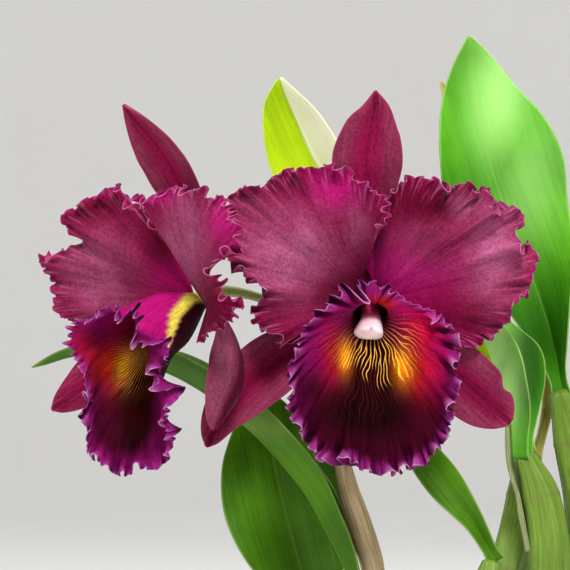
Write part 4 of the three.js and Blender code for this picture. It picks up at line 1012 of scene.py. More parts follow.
def root_finish(name):
    # Rhizome and roots: spongy silver-grey velamen with green showing through and brown old patches.
    material, tree, place = new_finish(name)
    patches = add(tree, NOISE, {"Vector": place, "Scale": per_metre(11), "Detail": 4}, "Fac")
    pits = add(tree, NOISE, {"Vector": place, "Scale": per_metre(1.4), "Detail": 4}, "Fac")
    green = add(tree, MAP, [patches, 0.5, 0.62, 0, 0.6])
    brown = add(tree, MAP, [patches, 0.46, 0.36, 0, 0.8])
    base = layered(tree, "#c7c2ac", (green, "#98a669"), (brown, "#7c6344"))
    base = grained(tree, base, (pits, 0.5))
    rough = add(tree, MAP, [pits, 0, 1, 0.65, 0.9])
    show(tree, base, rough, {"IOR": 1.4}, pits, 0.3)
    return material


def bark_finish(name):
    # Chipped fir bark: matt red-brown cork in layers, paler and greyer where a chip is worn.
    material, tree, place = new_finish(name)
    chips = add(tree, "ShaderNodeTexVoronoi", {"Vector": place, "Scale": per_metre(15)}, "Color")
    chip = add(tree, "ShaderNodeSeparateColor", {"Color": chips}, "Red")
    stretch = add(tree, "ShaderNodeMapping",
                  {"Vector": place, "Scale": (260.0, 420.0, 1500.0), "Rotation": (0.4, 0.3, 0.9)})
    layers = add(tree, NOISE, {"Vector": stretch, "Scale": 1, "Detail": 5}, "Fac")
    grit = add(tree, NOISE, {"Vector": place, "Scale": per_metre(1.1), "Detail": 4}, "Fac")
    layers = add(tree, MAP, [layers, 0.3, 0.7])
    base = layered(tree, "#43291b", (chip, "#7f5436"))
    base = grained(tree, base, (layers, 0.6))
    worn = add(tree, MAP, [grit, 0.55, 0.72, 0, 0.5])
    base = layered(tree, base, (worn, "#a08a74"))
    height = add(tree, MATH, [layers, grit], operation="ADD")
    rough = add(tree, MAP, [grit, 0, 1, 0.75, 0.95])
    show(tree, base, rough, {"IOR": 1.4}, height, 0.8)
    return material


def terracotta_finish(name, clay):
    # Wheel-thrown terracotta, fired and unglazed: fine throwing lines, fire-dark patches, a white
    # bloom of salts creeping up from the foot and a rim rubbed paler.
    material, tree, place = new_finish(name)
    parts = add(tree, "ShaderNodeSeparateXYZ", {"Vector": place}, "Z")
    patches = add(tree, NOISE, {"Vector": place, "Scale": per_metre(34), "Detail": 4}, "Fac")
    grit = add(tree, NOISE, {"Vector": place, "Scale": per_metre(1.0), "Detail": 4}, "Fac")
    blotch = add(tree, NOISE, {"Vector": place, "Scale": per_metre(9), "Detail": 5}, "Fac")
    turned = add(tree, "ShaderNodeMapping", {"Vector": place, "Scale": (9.0, 9.0, 520.0)})
    lines = add(tree, NOISE, {"Vector": turned, "Scale": 1, "Detail": 3}, "Fac")
    tone = add(tree, MAP, [patches, 0.35, 0.65])
    base = layered(tree, "#a4532f", (tone, clay))
    base = grained(tree, base, (lines, 0.35))
    low = add(tree, MAP, [parts, 0.05, 0, 0, 0.35])
    salt = add(tree, MATH, [blotch, low], operation="ADD")
    salt = add(tree, MAP, [salt, 0.6, 0.95, 0, 0.5])
    base = layered(tree, base, (salt, "#dccbb8"))
    rubbed = add(tree, MAP, [parts, 0.116, 0.12, 0, 0.4])
    base = layered(tree, base, (rubbed, "#d39a76"))
    speck = add(tree, MAP, [grit, 0.64, 0.7, 0, 0.5])
    base = layered(tree, base, (speck, "#8a4526"))
    height = add(tree, MATH, [lines, grit], operation="ADD")
    rough = add(tree, MAP, [grit, 0, 1, 0.78, 0.95])
    show(tree, base, rough, {"IOR": 1.5}, height, 0.35)
    return material


def backdrop_finish(name):
    # Matt studio paper, pale and very faintly uneven.
    material, tree, place = new_finish(name)
    tone = add(tree, NOISE, {"Vector": place, "Scale": 1.5, "Detail": 2}, "Fac")
    base = layered(tree, "#f4f2ee", (tone, "#faf9f6"))
    show(tree, base, 0.9, {"Specular IOR Level": 0.2})
    return material


# ---------- settings


def colour(name, description, code):
    """A colour that a user can change, from an sRGB hex value."""
    return FloatVectorProperty(
        name=name, description=description, default=linear(code)[:3], min=0, max=1, subtype="COLOR")


class OrchidFlowerSettings(bpy.types.PropertyGroup):
    """Sizes and colours of the blooms."""

    petal_colour: colour("Petals", "Main colour of the petals, between their patches", "#8e0848")
    sepal_colour: colour("Sepals", "Main colour of the sepals", "#7e0e3c")
    lip_colour: colour("Lips", "Main colour of the lips' folds", "#86105e")
    eye_colour: colour("Lip eyes", "Colour of the eyes beside the throat", "#e0760c")
    petal_thickness: FloatProperty(
        name="Petal thickness", description="Thickness of a petal away from its edge", default=0.7 * MM,
        unit="LENGTH")
    petal_frill: FloatProperty(
        name="Petal frill", description="How far the ruffled edge rolls, as a share of a full frill",
        default=1.0, subtype="FACTOR")
    lip_thickness: FloatProperty(
        name="Lip thickness", description="Thickness of a lip away from its edge", default=0.7 * MM,
        unit="LENGTH")
    lip_frill: FloatProperty(
        name="Lip frill", description="How far the ruffled edge rolls, as a share of a full frill",
        default=1.0, subtype="FACTOR")
    petal_columns: IntProperty(
        name="Petal columns", description="Points along a petal's edge", default=400, min=80)
    lip_columns: IntProperty(
        name="Lip columns", description="Points along a lip's edge", default=620, min=80)


class OrchidPlantSettings(bpy.types.PropertyGroup):
    """Sizes and colours of the green parts."""

    leaf_colour: colour("Leaves", "Main colour of a grown leaf in full light", "#58a818")
    leaf_thickness: FloatProperty(
        name="Leaf thickness", description="Thickness of a leaf beside its midrib", default=1.5 * MM,
        unit="LENGTH")
    rib_depth: FloatProperty(
        name="Pseudobulb rib depth", description="Depth of the grooves as a share of the radius",
        default=0.09, subtype="FACTOR")
    root_radius: FloatProperty(
        name="Root radius", description="Radius of a root where it leaves the rhizome", default=1.9 * MM,
        unit="LENGTH")


class OrchidPotSettings(bpy.types.PropertyGroup):
    """The pot and what fills it."""

    clay_colour: colour("Clay", "Colour of the pot between its fire-dark patches", "#c4764e")
    chip_count: IntProperty(name="Bark chips", description="How many loose chips lie on top", default=420)
    chip_length: FloatProperty(
        name="Chip length", description="Length of a middling bark chip", default=13 * MM, unit="LENGTH")
    chip_seed: IntProperty(name="Chip seed", description="Changes how the chips fall", default=7)


class OrchidStageSettings(bpy.types.PropertyGroup):
    """The backdrop, the camera and the lights."""

    lens: FloatProperty(
        name="Lens", description="Focal length of the camera", default=145.3, unit="CAMERA")
    key_power: FloatProperty(
        name="Key light", description="Power of the main soft light", default=19.0, unit="POWER")
    fill_power: FloatProperty(
        name="Fill light", description="Power of the soft light on the other side", default=6.0,
        unit="POWER")
    room_power: FloatProperty(
        name="Room light", description="Power of the wide light overhead", default=40.0, unit="POWER")
    air_tint: FloatVectorProperty(
        name="Air tint", description="Colour of the light from all round", default=(0.9, 0.93, 1.0),
        subtype="COLOR")


# ---------- flower pieces

# Of these colours the pale pinkish grey is a painted sheen, the darkest a painted shade, the greyish
# lilac a painted highlight along the pleats, and the rim's pale lilac partly the edge's own colour and
# partly painted highlight.
PETAL_COLOURS = {
    "deep": "#6a0328", "hot": "#b80c70", "painted_sheen": "#a85a80", "shade": "#52021a", "fringe": "#981a62",
    "rim": "#d692bc", "painted_fold_highlight": "#b4789c",
}
SEPAL_COLOURS = {
    "deep": "#5e0628", "hot": "#b01c58", "painted_sheen": "#965068", "shade": "#380216", "fringe": "#8a1e48",
    "rim": "#c07894", "painted_fold_highlight": "#8c3c5c",
}
# Of these colours the near-black purple laid in the fold valleys is painted shade, the greyish lilac on
# the frill's crests painted highlight, and the rim's pale lilac partly the lip's own edge and partly
# painted highlight.
LIP_COLOURS = {
    "folds": "#5a0440", "velvet": "#360216", "rosy": "#a00430", "pink": "#aa0a70", "scarlet": "#a81606",
    "throat": "#130002", "painted_fold_shade": "#240112", "gold": "#ffd02c", "vein": "#dfa040", "ember": "#7c0e14",
    "fringe": "#84226e", "rim": "#cc98c0", "painted_fold_highlight": "#a870a0", "outside": "#980c5a", "hot": "#bc1678",
    "dark_beyond_band": "#2a0414", "band": "#e2d250",
}

# Soft patches on a petal, as (x, z, half width, half height, strength) in its bloom's millimetres: the
# pale ones are painted sheen, the hot ones brighter magenta and the deep ones painted shade.
PETAL_PATCHES = {
    "front_petal_left": {
        "painted_sheen": [(-40, 22, 25, 22, 1.0), (-7, 34, 8, 14, 0.6), (-60, 44, 12, 9, 0.4)],
        "glow": [(-16, 53, 15, 9, 0.9), (-36, 34, 14, 4, 0.4)],
        "deep": [(-15, 4, 14, 9, 0.8), (-1, 52, 4, 8, 0.6), (-46, 55, 18, 7, 0.65),
                 (-48, -14, 12, 10, 0.4)],
    },
    "front_petal_right": {
        "painted_sheen": [(62, 22, 14, 26, 1.0), (47, 44, 9, 8, 0.8), (30, 26, 26, 16, 0.35)],
        "glow": [(14, 14, 26, 15, 1.0)],
        "deep": [(6, 32, 5, 12, 0.6), (30, 46, 22, 10, 0.85), (34, 26, 12, 14, 0.55),
                 (50, -8, 18, 14, 0.5)],
    },
    "left_petal_left": {
        "painted_sheen": [(-52, 12, 19, 22, 0.85)],
        "glow": [(-16, 14, 14, 14, 0.7)],
        "deep": [(-17, 31, 12, 17, 1.1), (-58, 46, 16, 9, 0.7), (-68, -6, 14, 9, 0.6),
                 (-48, 14, 24, 24, 0.4)],
    },
    "left_petal_right": {
        "painted_sheen": [(-6, 26, 12, 22, 1.0), (-2, 0, 7, 14, 0.7)],
        "glow": [(13, 38, 9, 12, 0.95), (-16, 50, 9, 4, 0.8)],
        "deep": [(10, 4, 9, 10, 0.4), (8, 52, 10, 5, 0.3)],
    },
}
PETAL_FRILLS = {
    "front_petal_left": {"seed": 3, "teeth": 1.1},
    "front_petal_right": {"seed": 5, "teeth": 1.0},
    "left_petal_left": {"seed": 8, "teeth": 1.1},
    "left_petal_right": {"seed": 11, "teeth": 0.8},
}
PETAL_FOLDS = [(31, 12, 40, 0.0), (11, 30, 14, 0.7), (5, 46, 7, 0.9), (2.7, 26, 3, 0.5)]
# fine makes the coloured fringe narrower, and the velvet fades out over fade millimetres from the edge.
LIP_FRILLS = {
    "front_lip": {
        "seed": 21, "teeth": 1.0, "still": (0.085, 0.03), "fine": 1, "fade": 9,
        "sorts": [(22, 30, 24, 0.3), (9.5, 58, 17, 0.9), (5.2, 74, 11, 1.0), (2.8, 40, 3.5, 0.6)],
    },
    "left_lip": {
        "seed": 27, "teeth": 0.8, "fine": 1.5, "fade": 18,
        "sorts": [(21, 34, 26, 0.2), (8.6, 38, 11, 0.3), (4.2, 52, 6.5, 0.5), (2.3, 42, 3, 0.4)],
    },
}
LIP_PATCHES = {
    "front_lip": {
        "throat": [(1.5, -36, 15, 20, 1.8), (-1, -56, 24, 14, 1.3)],
        "velvet": [(2, -60, 42, 26, 1.6), (-28, -46, 14, 14, 1.0)],
        "eye": [(-13, -30, 3, 8, 0.9), (15.5, -35, 4, 8, 0.9)],
        "scarlet": [(-17.5, -30, 4.5, 11, 0.8), (21.5, -36, 5, 12, 0.9), (6, -3, 9, 4.5, 1.0)],
        "rosy": [(23, -19, 11, 15, 1.2), (27, -34, 9, 15, 0.85), (-20, -27, 7, 15, 0.6)],
        "pink": [(18, 0, 20, 9, 1.1)],
        "veined": [(1.5, -34, 15, 14, 1.7), (14, -22, 7, 7, 0.9)],
    },
    "left_lip": {
        "throat": [(-27.5, -40, 6, 16, 2.4), (-33, -44, 6, 8, 0.8), (-29.5, -57, 7, 14, 2.0),
                   (-31, -68, 7, 8, 1.1)],
        "velvet": [(-38, -58, 20, 24, 1.3), (-57, -36, 13, 18, 1.5)],
        "eye": [(-38, -33, 3.6, 6.5, 1.05)],
        "scarlet": [(-43, -32, 6.5, 11, 1.2), (-51, -29, 11, 12, 0.4)],
        "rosy": [(-62, -24, 7, 12, 0.5)],
        "pink": [],
        "veined": [(-36, -35, 6.5, 9, 1.7)],
    },
}
# Where the gold veins fan out from, the way their middle points in radians from straight down, and how
# many would go once round.
VEIN_FOCUS = {"front_lip": (0.5, -12, 0.0, 34), "left_lip": (-25.5, -26, -0.85, 64)}
# Where the yellow band runs down the outside of each tube, as (x, z) in its bloom's millimetres.
LIP_BANDS = {
    "front_lip": [(-14, -10), (-18, -18), (-20, -30)],
    "left_lip": [(2, 2), (-4.5, 1.5), (-11.5, -7.5), (-15.5, -23.5)],
}


def bloom_of(node):
    """The middle of the bloom that a piece belongs to."""
    return BLOOMS[node.split("_")[0]]


def rolled(folds, share):
    """Sorts of fold whose roll is a share of the full one."""
    return [(wavelength, steep * share, reach, overhang) for wavelength, steep, reach, overhang in folds]


def patches(points, spots, origin=(0, 0, 0)):
    """How strongly soft round patches cover points, seen from the front."""
    x = points[..., 0] - origin[0]
    z = points[..., 2] - origin[2]
    total = np.zeros(x.shape)
    for across, up, wide, tall, strength in spots:
        total = np.maximum(total, strength * np.exp(-((x - across) / wide) ** 2 - ((z - up) / tall) ** 2))
    return np.clip(total, 0, 1)


def from_line(points, origin, line):
    """Distance of points to a bent line and the side they are on, seen from the front."""
    x = points[..., 0] - origin[0]
    z = points[..., 2] - origin[2]
    nearest = np.full(x.shape, 1e9)
    side = np.zeros(x.shape)
    for (ax, az), (bx, bz) in zip(line[:-1], line[1:]):
        dx, dz = bx - ax, bz - az
        share = np.clip(((x - ax) * dx + (z - az) * dz) / (dx * dx + dz * dz), 0, 1)
        gap = np.hypot(x - ax - share * dx, z - az - share * dz)
        turn = dx * (z - az) - dz * (x - ax)
        closer = gap < nearest
        nearest = np.where(closer, gap, nearest)
        side = np.where(closer, np.sign(turn), side)
    return nearest, side


class ORCHID_OT_petals(bpy.types.Operator):
    """Builds the four frilled petals"""

    bl_idname = "orchid.petals"
    bl_label = "Petals"

    def execute(self, context):
        sizes = context.scene.orchid_flowers
        own = {"main": (*sizes.petal_colour, 1.0)}
        finish = petal_finish("cattleya_petal_velvet", PETAL_COLOURS | own)
        rows = 1 - (1 - np.linspace(0, 1, 44)) ** 1.5
        for node, shape in PETALS.items():
            origin = bloom_of(node)
            grid, length = petal_grid(PETAL_WAVES | shape, origin, sizes.petal_columns, rows)
            folds = rolled(PETAL_FOLDS, sizes.petal_frill)
            grid, crest = frilled(grid, length, dict(PETAL_FRILLS[node], calm=8, ends=0.07, sorts=folds))
            values = {key: patches(grid, spots, origin) for key, spots in PETAL_PATCHES[node].items()}
            values["vein"] = (np.linspace(0, 1, sizes.petal_columns) * length / 1.7)[:, None]
            values["reach"] = rows[None, :]
            values["margin"] = edge_distance(grid)
            values["crest"] = crest
            half = 0.5 * sizes.petal_thickness / MM * (1 - 0.55 * smooth(0.8, 1, rows))[None, :]
            mesh = sheet_mesh(node + "_velvet", grid, half, values)
            link_piece(mesh, node, finish)
        return {"FINISHED"}


class ORCHID_OT_sepals(bpy.types.Operator):
    """Builds the six sepals"""

    bl_idname = "orchid.sepals"
    bl_label = "Sepals"

    def execute(self, context):
        own = {"main": (*context.scene.orchid_flowers.sepal_colour, 1.0)}
        finish = petal_finish("cattleya_sepal_satin", SEPAL_COLOURS | own)
        for number, (node, shape) in enumerate(SEPALS.items()):
            grid, t, x, width, length = blade_grid(shape, 44, 72, bloom_of(node))
            normal = sheet_normals(grid)
            run = t[None, :] * length
            wave = 0.5 * np.abs(x) ** 3 * wander(run + 40 * (x > 0), 9, number % 3) * np.sin(math.pi * t)
            groove = -0.45 * np.exp(-((x * width / 1.6) ** 2)) * np.sin(math.pi * t)
            grid = grid + normal * (wave + groove)[..., None]
            edge = (1 - np.abs(x)) * width[None, :]
            # Painted sheen towards the sides; painted shade along the middle groove and towards the base.
            values = {
                "painted_sheen": 0.4 * smooth(0.15, 0.9, np.abs(x)) * np.ones_like(t),
                "glow": 0.7 * np.exp(-((x / 0.5) ** 2)) * smooth(1, 0.4, t)[None, :] * ("dorsal" in node),
                "deep": 0.28 * np.exp(-((x * width / 1.3) ** 2)) + 0.5 * smooth(0.4, 0.0, t)[None, :],
                "vein": x * width / 1.5,
                "reach": t[None, :],
                "margin": edge,
                "crest": 0 * edge,
            }
            if node == "left_sepal_left":
                values["painted_sheen"] *= 0.3
            if node == "front_sepal_right":
                notch = 3.4 * np.exp(-(((t - 0.85) / 0.04) ** 2)) * smooth(0.45, 1, -x)
                grid = grid + unit(grid[-1:] - grid[:1]) * notch[..., None]
            if node == "left_sepal_right":
                # One half of this sepal carries painted sheen and the other half painted shade.
                values["painted_sheen"] = smooth(0.25, -0.25, x) * np.ones_like(t)
                under = 0.5 + 0.3 * smooth(0.5, 0.1, t)
                values["deep"] = np.maximum(values["deep"], under + 0.35 * smooth(0.1, 0.6, x))
            half = 0.6 * smooth(0, 0.22, 1.03 - np.abs(x)) + 0.12
            mesh = sheet_mesh(node + "_satin", grid, half, values)
            link_piece(mesh, node, finish)
        return {"FINISHED"}


class ORCHID_OT_lips(bpy.types.Operator):
    """Builds the two ruffled lips"""

    bl_idname = "orchid.lips"
    bl_label = "Lips"

    def execute(self, context):
        sizes = context.scene.orchid_flowers
        own = {"main": (*sizes.lip_colour, 1.0), "eye": (*sizes.eye_colour, 1.0)}
        finish = lip_finish("cattleya_lip_velvet", LIP_COLOURS | own)
        blade = 1 - 0.5 * (1 - np.linspace(0, 1, 42)) ** 1.4
        rows = np.concatenate([np.linspace(0, 0.5, 16, endpoint=False), blade])
        for node, shape in LIPS.items():
            origin = bloom_of(node)
            grid, length = lip_grid(LIP_WAVES | shape, origin, sizes.lip_columns, rows)
            folds = rolled(LIP_FRILLS[node]["sorts"], sizes.lip_frill)
            grid, crest = frilled(grid, length, dict(LIP_FRILLS[node], calm=9, ends=0.05, sorts=folds))
            u = np.linspace(0, 1, sizes.lip_columns)[:, None]
            t = rows[None, :]
            values = {key: patches(grid, spots, origin) for key, spots in LIP_PATCHES[node].items()}
            inside = smooth(0.5, 0.3, t)
            under = smooth(0.1, 0.3, u) * smooth(0.9, 0.7, u)
            values["throat"] = np.maximum(values["throat"], 0.95 * inside * under)
            values["rosy"] = np.maximum(values["rosy"], 0.7 * inside)
            across, up, lean, count = VEIN_FOCUS[node]
            x = grid[..., 0] - origin[0] - across
            z = grid[..., 2] - origin[2] - up
            values["span"] = np.hypot(x, z)
            turn = np.arctan2(x, -z) - lean
            values["ray"] = turn * (1 + 0.012 * values["span"]) * count / (2 * math.pi)
            values["crest"] = crest
            values["vein"] = u * length / 1.9
            values["reach"] = t
            values["margin"] = edge_distance(grid) * LIP_FRILLS[node]["fine"]
            values["velvet"] = values["velvet"] * smooth(1, LIP_FRILLS[node]["fade"], values["margin"])
            gap, side = from_line(grid, origin, LIP_BANDS[node])
            tube = smooth(0.8, 0.55, t)
            wide = 1.2 + 2.2 * smooth(-24, 0, grid[..., 2] - origin[2])
            values["band"] = smooth(1.25, 0.4, gap / wide) * tube
            # Darker maroon on the tube's outside beyond the yellow band.
            values["dark_beyond_band"] = smooth(0, 2.5, gap * side) * tube * (u > 0.05)
            half = 0.5 * sizes.lip_thickness / MM * (1 - 0.5 * smooth(0.85, 1, rows))[None, :]
            mesh = sheet_mesh(node + "_ruffle", grid, half, values)
            link_piece(mesh, node, finish)
        return {"FINISHED"}


COLUMN_GIRTH = [[0, 3.2], [0.4, 3.3], [0.6, 3.5], [0.8, 4.3], [0.94, 6.0], [1, 5.9]]


class ORCHID_OT_columns(bpy.types.Operator):
    """Builds the hooded column of each bloom"""

    bl_idname = "orchid.columns"
    bl_label = "Columns"

    def execute(self, context):
        finish = column_finish("cattleya_column_wax")
        shares = 0.5 - 0.5 * np.cos(math.pi * np.linspace(0.02, 0.998, 56))
        for node, points in COLUMN_PATHS.items():
            path = Path(points, bloom_of(node))

            def radii(t, angle):
                girth = profile(COLUMN_GIRTH, t) * smooth(0, 0.04, 1.008 - t) ** 0.5
                # Two wings stand out beside a flatter underside, as on a real column.
                flat = np.exp(-((np.sin((angle - 4.71) / 2) / 0.3) ** 2))
                return girth * (1 + 0.1 * np.cos(2 * angle) - 0.12 * flat)

            body = rod(path, shares, 40, radii, (0, 0, 1), 1.12)
            top = unit(body[0] - path.at(shares)[:, None])[..., 2]
            flush = np.clip(1.2 * smooth(0.96, 0.6, shares)[:, None] + 0.35 * smooth(0.1, 0.9, top), 0, 1)
            dot = patches(body[0], [(0.2, -16, 0.7, 0.7, 1.0)], bloom_of(node))
            mesh = rod_mesh(node + "_wax", [body], [{"flush": flush, "dot": dot}])
            link_piece(mesh, node, finish)
        return {"FINISHED"}


# ---------- green pieces

# A leaf's light colour is a painted highlight and its darkest colour a painted shade; the shaded tone is
# a darker copy painted for the leaves that sit in shade.
LEAF_COLOURS = {
    "mature": {
        "shade": "#3d880a", "light": "#b2f284", "painted_shade": "#1f5202", "rib": "#8cc848", "margin": "#a4cc6c",
    },
    "shaded": {
        "main": "#4c7e0c", "shade": "#386206", "light": "#88a848", "painted_shade": "#224404", "rib": "#6c902c",
        "margin": "#88a44c",
    },
    "young": {
        "main": "#b2d210", "shade": "#9cc20c", "light": "#ffffe4", "painted_shade": "#6f9c0c", "rib": "#d6ea60",
        "margin": "#dcee90",
    },
    "tan": {
        "main": "#a0944a", "shade": "#807c34", "light": "#d8cc90", "painted_shade": "#6c662a", "rib": "#b8b068",
        "margin": "#cfc588",
    },
}


def seated(shape):
    """A leaf whose foot is let 4 mm into its stem and opened out to clasp it."""
    spine = np.array(shape["spine"], float)
    start = spine[0] - 4 * unit(spine[1] - spine[0])
    foot = shape["foot"]
    width = [[0, foot], [0.035, foot]] + shape["width"][1:]
    fold = [[0, 32 if foot < 8 else 62]] + [[max(at, 0.08), angle] for at, angle in shape["fold"]]
    return dict(shape, spine=np.concatenate([[start], spine]), width=width, fold=fold)


class ORCHID_OT_leaves(bpy.types.Operator):
    """Builds the seven strap leaves"""

    bl_idname = "orchid.leaves"
    bl_label = "Leaves"

    def execute(self, context):
        sizes = context.scene.orchid_plant
        own = {"main": (*sizes.leaf_colour, 1.0)}
        finishes = {}
        for tone, colours in LEAF_COLOURS.items():
            finishes[tone] = leaf_finish(tone + "_leaf_cuticle", own | colours)
        for number, (node, shape) in enumerate(LEAVES.items()):
            grid, t, x, width, length = blade_grid(seated(shape), 40, 96)
            run = t[None, :] * length
            normal = sheet_normals(grid)
            off = x * width[None, :]
            groove = -0.5 * np.exp(-((off / 1.1) ** 2))
            ease = np.sin(math.pi * t)[None, :] ** 0.5
            buckle = 0.5 * np.abs(x) ** 2 * wander(run + 60 * (x > 0), 26, number)
            ridges = 0.05 * np.sin(2 * math.pi * off / 3.2)
            grid = grid + normal * ((groove + buckle + ridges) * ease)[..., None]
            edge = (1 - np.abs(x)) * width[None, :]
            half = 0.5 * sizes.leaf_thickness / MM * (0.35 + 0.65 * smooth(0, 5, edge))
            half = half + 0.35 * np.exp(-((off / 1.4) ** 2)) * smooth(0, 6, width)[None, :]
            values = {"across": off, "run": run, "edge": edge}
            # Painted highlight and painted shade in the leaf's set patches.
            for key in ("light", "painted_shade"):
                values[key] = patches(grid, shape.get(key, []))
            # Painted highlight over leaf C's right half.
            if node == "leaf_c":
                values["light"] = 0.95 * smooth(0.02, 0.1, x) * smooth(0.35, 0.6, t)[None, :]
            mesh = sheet_mesh(node + "_strap", grid, half, values)
            tone = shape["tone"]
            link_piece(mesh, node, finishes[tone])
        return {"FINISHED"}


class ORCHID_OT_bulbs(bpy.types.Operator):
    """Builds the six swollen stems"""

    bl_idname = "orchid.bulbs"
    bl_label = "Pseudobulbs"

    def execute(self, context):
        sizes = context.scene.orchid_plant
        finish = bulb_finish("pseudobulb_rind")
        shares = np.linspace(0.004, 0.996, 88)
        joints = (0.16, 0.36, 0.62, 0.86)
        for number, (node, shape) in enumerate(BULBS.items()):
            path = Path(shape["path"])
            tip = shape.get("tip", 0.5)
            girth = [[0, 0.32], [0.12, 0.42], [0.35, 0.72], [0.65, 1], [0.86, 0.88], [0.96, tip + 0.1],
                     [1, tip]]
            ring = sum(np.exp(-(((shares - at) * path.length / 1.1) ** 2)) for at in joints)

            def radii(t, angle):
                fine = 0.012 * np.sin(23 * angle + 3 * t) + 0.01 * np.sin(37 * angle)
                ribs = 1 + sizes.rib_depth * np.cos(5 * angle) + fine * smooth(0.1, 0.3, t)
                swell = 1 + 0.03 * ring[:, None] - 0.02 * np.cos(2 * math.pi * t * 4)
                eased = smooth(0, 0.016, 1.005 - t) ** 0.5
                return shape["radius"] * profile(girth, t) * ribs * swell * eased

            turn = np.abs(np.linspace(-1, 1, 60))[None, :] * 26 + 40 * number
            values = {"turn": turn, "run": (shares * path.length)[:, None], "share": shares[:, None],
                      "ring": 0.5 * np.clip(ring, 0, 1)[:, None]}
            mesh = rod_mesh(node + "_rind", [rod(path, shares, 60, radii, stretch=1.12)], [values])
            link_piece(mesh, node, finish)
        return {"FINISHED"}


class ORCHID_OT_sheaths(bpy.types.Operator):
    """Builds the dried sheath of the flower stalk and the green one at a leaf's foot"""

    bl_idname = "orchid.sheaths"
    bl_label = "Sheaths"

    def execute(self, context):
        dry = sheath_finish("dried_flower_sheath", "#cbb68e", "#a58a62")
        green = sheath_finish("pale_green_sheath", "#c3d09a", "#93aa62")
        u = np.linspace(0, 1, 48)[:, None]
        t = np.linspace(0, 1, 60)
        for number, (node, shape) in enumerate(SHEATHS.items()):
            path = Path(shape["path"])
            tangent = path.tangent(t)
            side = unit(np.cross(tangent, (0, -1, 0)))
            front = np.cross(side, tangent)
            wide, narrow, start = shape["sweep"]
            sweep = wide + (narrow - wide) * smooth(start, 1, t)[None, :]
            angle = np.radians(shape["start"] + sweep * (u - 0.5))
            run = t[None, :] * path.length
            turn = angle * 6
            r = profile(shape["radius"], t)[None, :] + 0.18 * wander(turn * 1.3 + 0 * run, 1.6, number)
            r = r + 0.2 * wander(run + 8 * angle, 12, number + 5)
            across = (r * np.cos(angle))[..., None] * side
            grid = path.at(t)[None] + across + (r * np.sin(angle))[..., None] * front
            edge = np.minimum(path.length - run, r * np.radians(sweep) * np.minimum(u, 1 - u))
            values = {"turn": turn * 1.4, "run": run, "edge": edge}
            mesh = sheet_mesh(node + "_paper", grid, 0.3, values)
            link_piece(mesh, node, dry if number == 0 else green)
        return {"FINISHED"}


class ORCHID_OT_stalk(bpy.types.Operator):
    """Builds the flower stalk with its two pedicels"""

    bl_idname = "orchid.stalk"
    bl_label = "Flower stalk"

    def execute(self, context):
        shares = np.linspace(0.003, 0.997, 70)
        rods = []
        for number, points in enumerate(STALK_PATHS):
            path = Path(points)

            def radii(t, angle):
                if number == 0:
                    joint = 0.06 * np.exp(-(((t - 0.55) / 0.02) ** 2))
                    return 2.6 * (1 + 0.05 * np.cos(3 * angle) + joint)
                swell = 2.2 + 0.8 * smooth(0.4, 1, t)
                return swell * (1 + 0.05 * np.cos(6 * angle + 2 * t) * smooth(0.4, 0.9, t))

            rods.append(rod(path, shares, 24, radii, (0, 1, 0.2)))
        mesh = rod_mesh("flower_stalk_skin", rods)
        link_piece(mesh, "flower_stalk", stalk_finish("flower_stalk_skin"))
        return {"FINISHED"}


# ---------- what grows and lies in the pot


def node_tree_for(name, inputs):
    """A geometry tree with a Geometry input, the named inputs as (name, kind, default), and an output."""
    tree = bpy.data.node_groups.new(name, "GeometryNodeTree")
    tree.interface.new_socket("Geometry", in_out="INPUT", socket_type="NodeSocketGeometry")
    for label, kind, default in inputs:
        tree.interface.new_socket(label, in_out="INPUT", socket_type=kind).default_value = default
    tree.interface.new_socket("Geometry", in_out="OUTPUT", socket_type="NodeSocketGeometry")
    entry = tree.nodes.new("NodeGroupInput")
    return tree, entry.outputs


def settled(piece, tree, inputs, name):
    """Runs a geometry tree on an object and hands back its result as a plain mesh."""
    modifier = piece.modifiers.new(tree.name, "NODES")
    modifier.node_group = tree
    for item in tree.interface.items_tree:
        if item.in_out == "INPUT" and item.name in inputs:
            modifier[item.identifier] = inputs[item.name]
    graph = bpy.context.evaluated_depsgraph_get()
    mesh = bpy.data.meshes.new_from_object(piece.evaluated_get(graph))
    mesh.name = name
    piece.modifiers.remove(modifier)
    bpy.data.objects.remove(piece)
    return mesh


def root_tree(finish):
    """Roots: round tubes along paths that thin out and wander in thickness."""
    tree, entry = node_tree_for("orchid_roots", [
        ("Radius", "NodeSocketFloat", 1.9 * MM),
        ("Sides", "NodeSocketInt", 14),
    ])
    share = add(tree, "GeometryNodeSplineParameter", out="Factor")
    place = add(tree, "GeometryNodeInputPosition")
    knots = add(tree, NOISE, {"Vector": place, "Scale": per_metre(6), "Detail": 2}, "Fac")
    taper = add(tree, MAP, [share, 0, 1, 1, 0.68])
    uneven = add(tree, MAP, [knots, 0, 1, 0.8, 1.2])
    radius = add(tree, MATH, [taper, uneven], operation="MULTIPLY")
    ring = add(tree, "GeometryNodeCurvePrimitiveCircle",
               {"Resolution": entry["Sides"], "Radius": entry["Radius"]})
    curve = add(tree, "GeometryNodeSetCurveRadius", {"Curve": entry["Geometry"], "Radius": radius})
    tubes = add(tree, "GeometryNodeCurveToMesh",
                {"Curve": curve, "Profile Curve": ring, "Scale": radius, "Fill Caps": True})
    tubes = add(tree, "GeometryNodeRealizeInstances", {"Geometry": tubes})
    tubes = add(tree, "GeometryNodeSetMaterial", {"Geometry": tubes, "Material": finish})
    add(tree, "NodeGroupOutput", {"Geometry": tubes})
    return tree


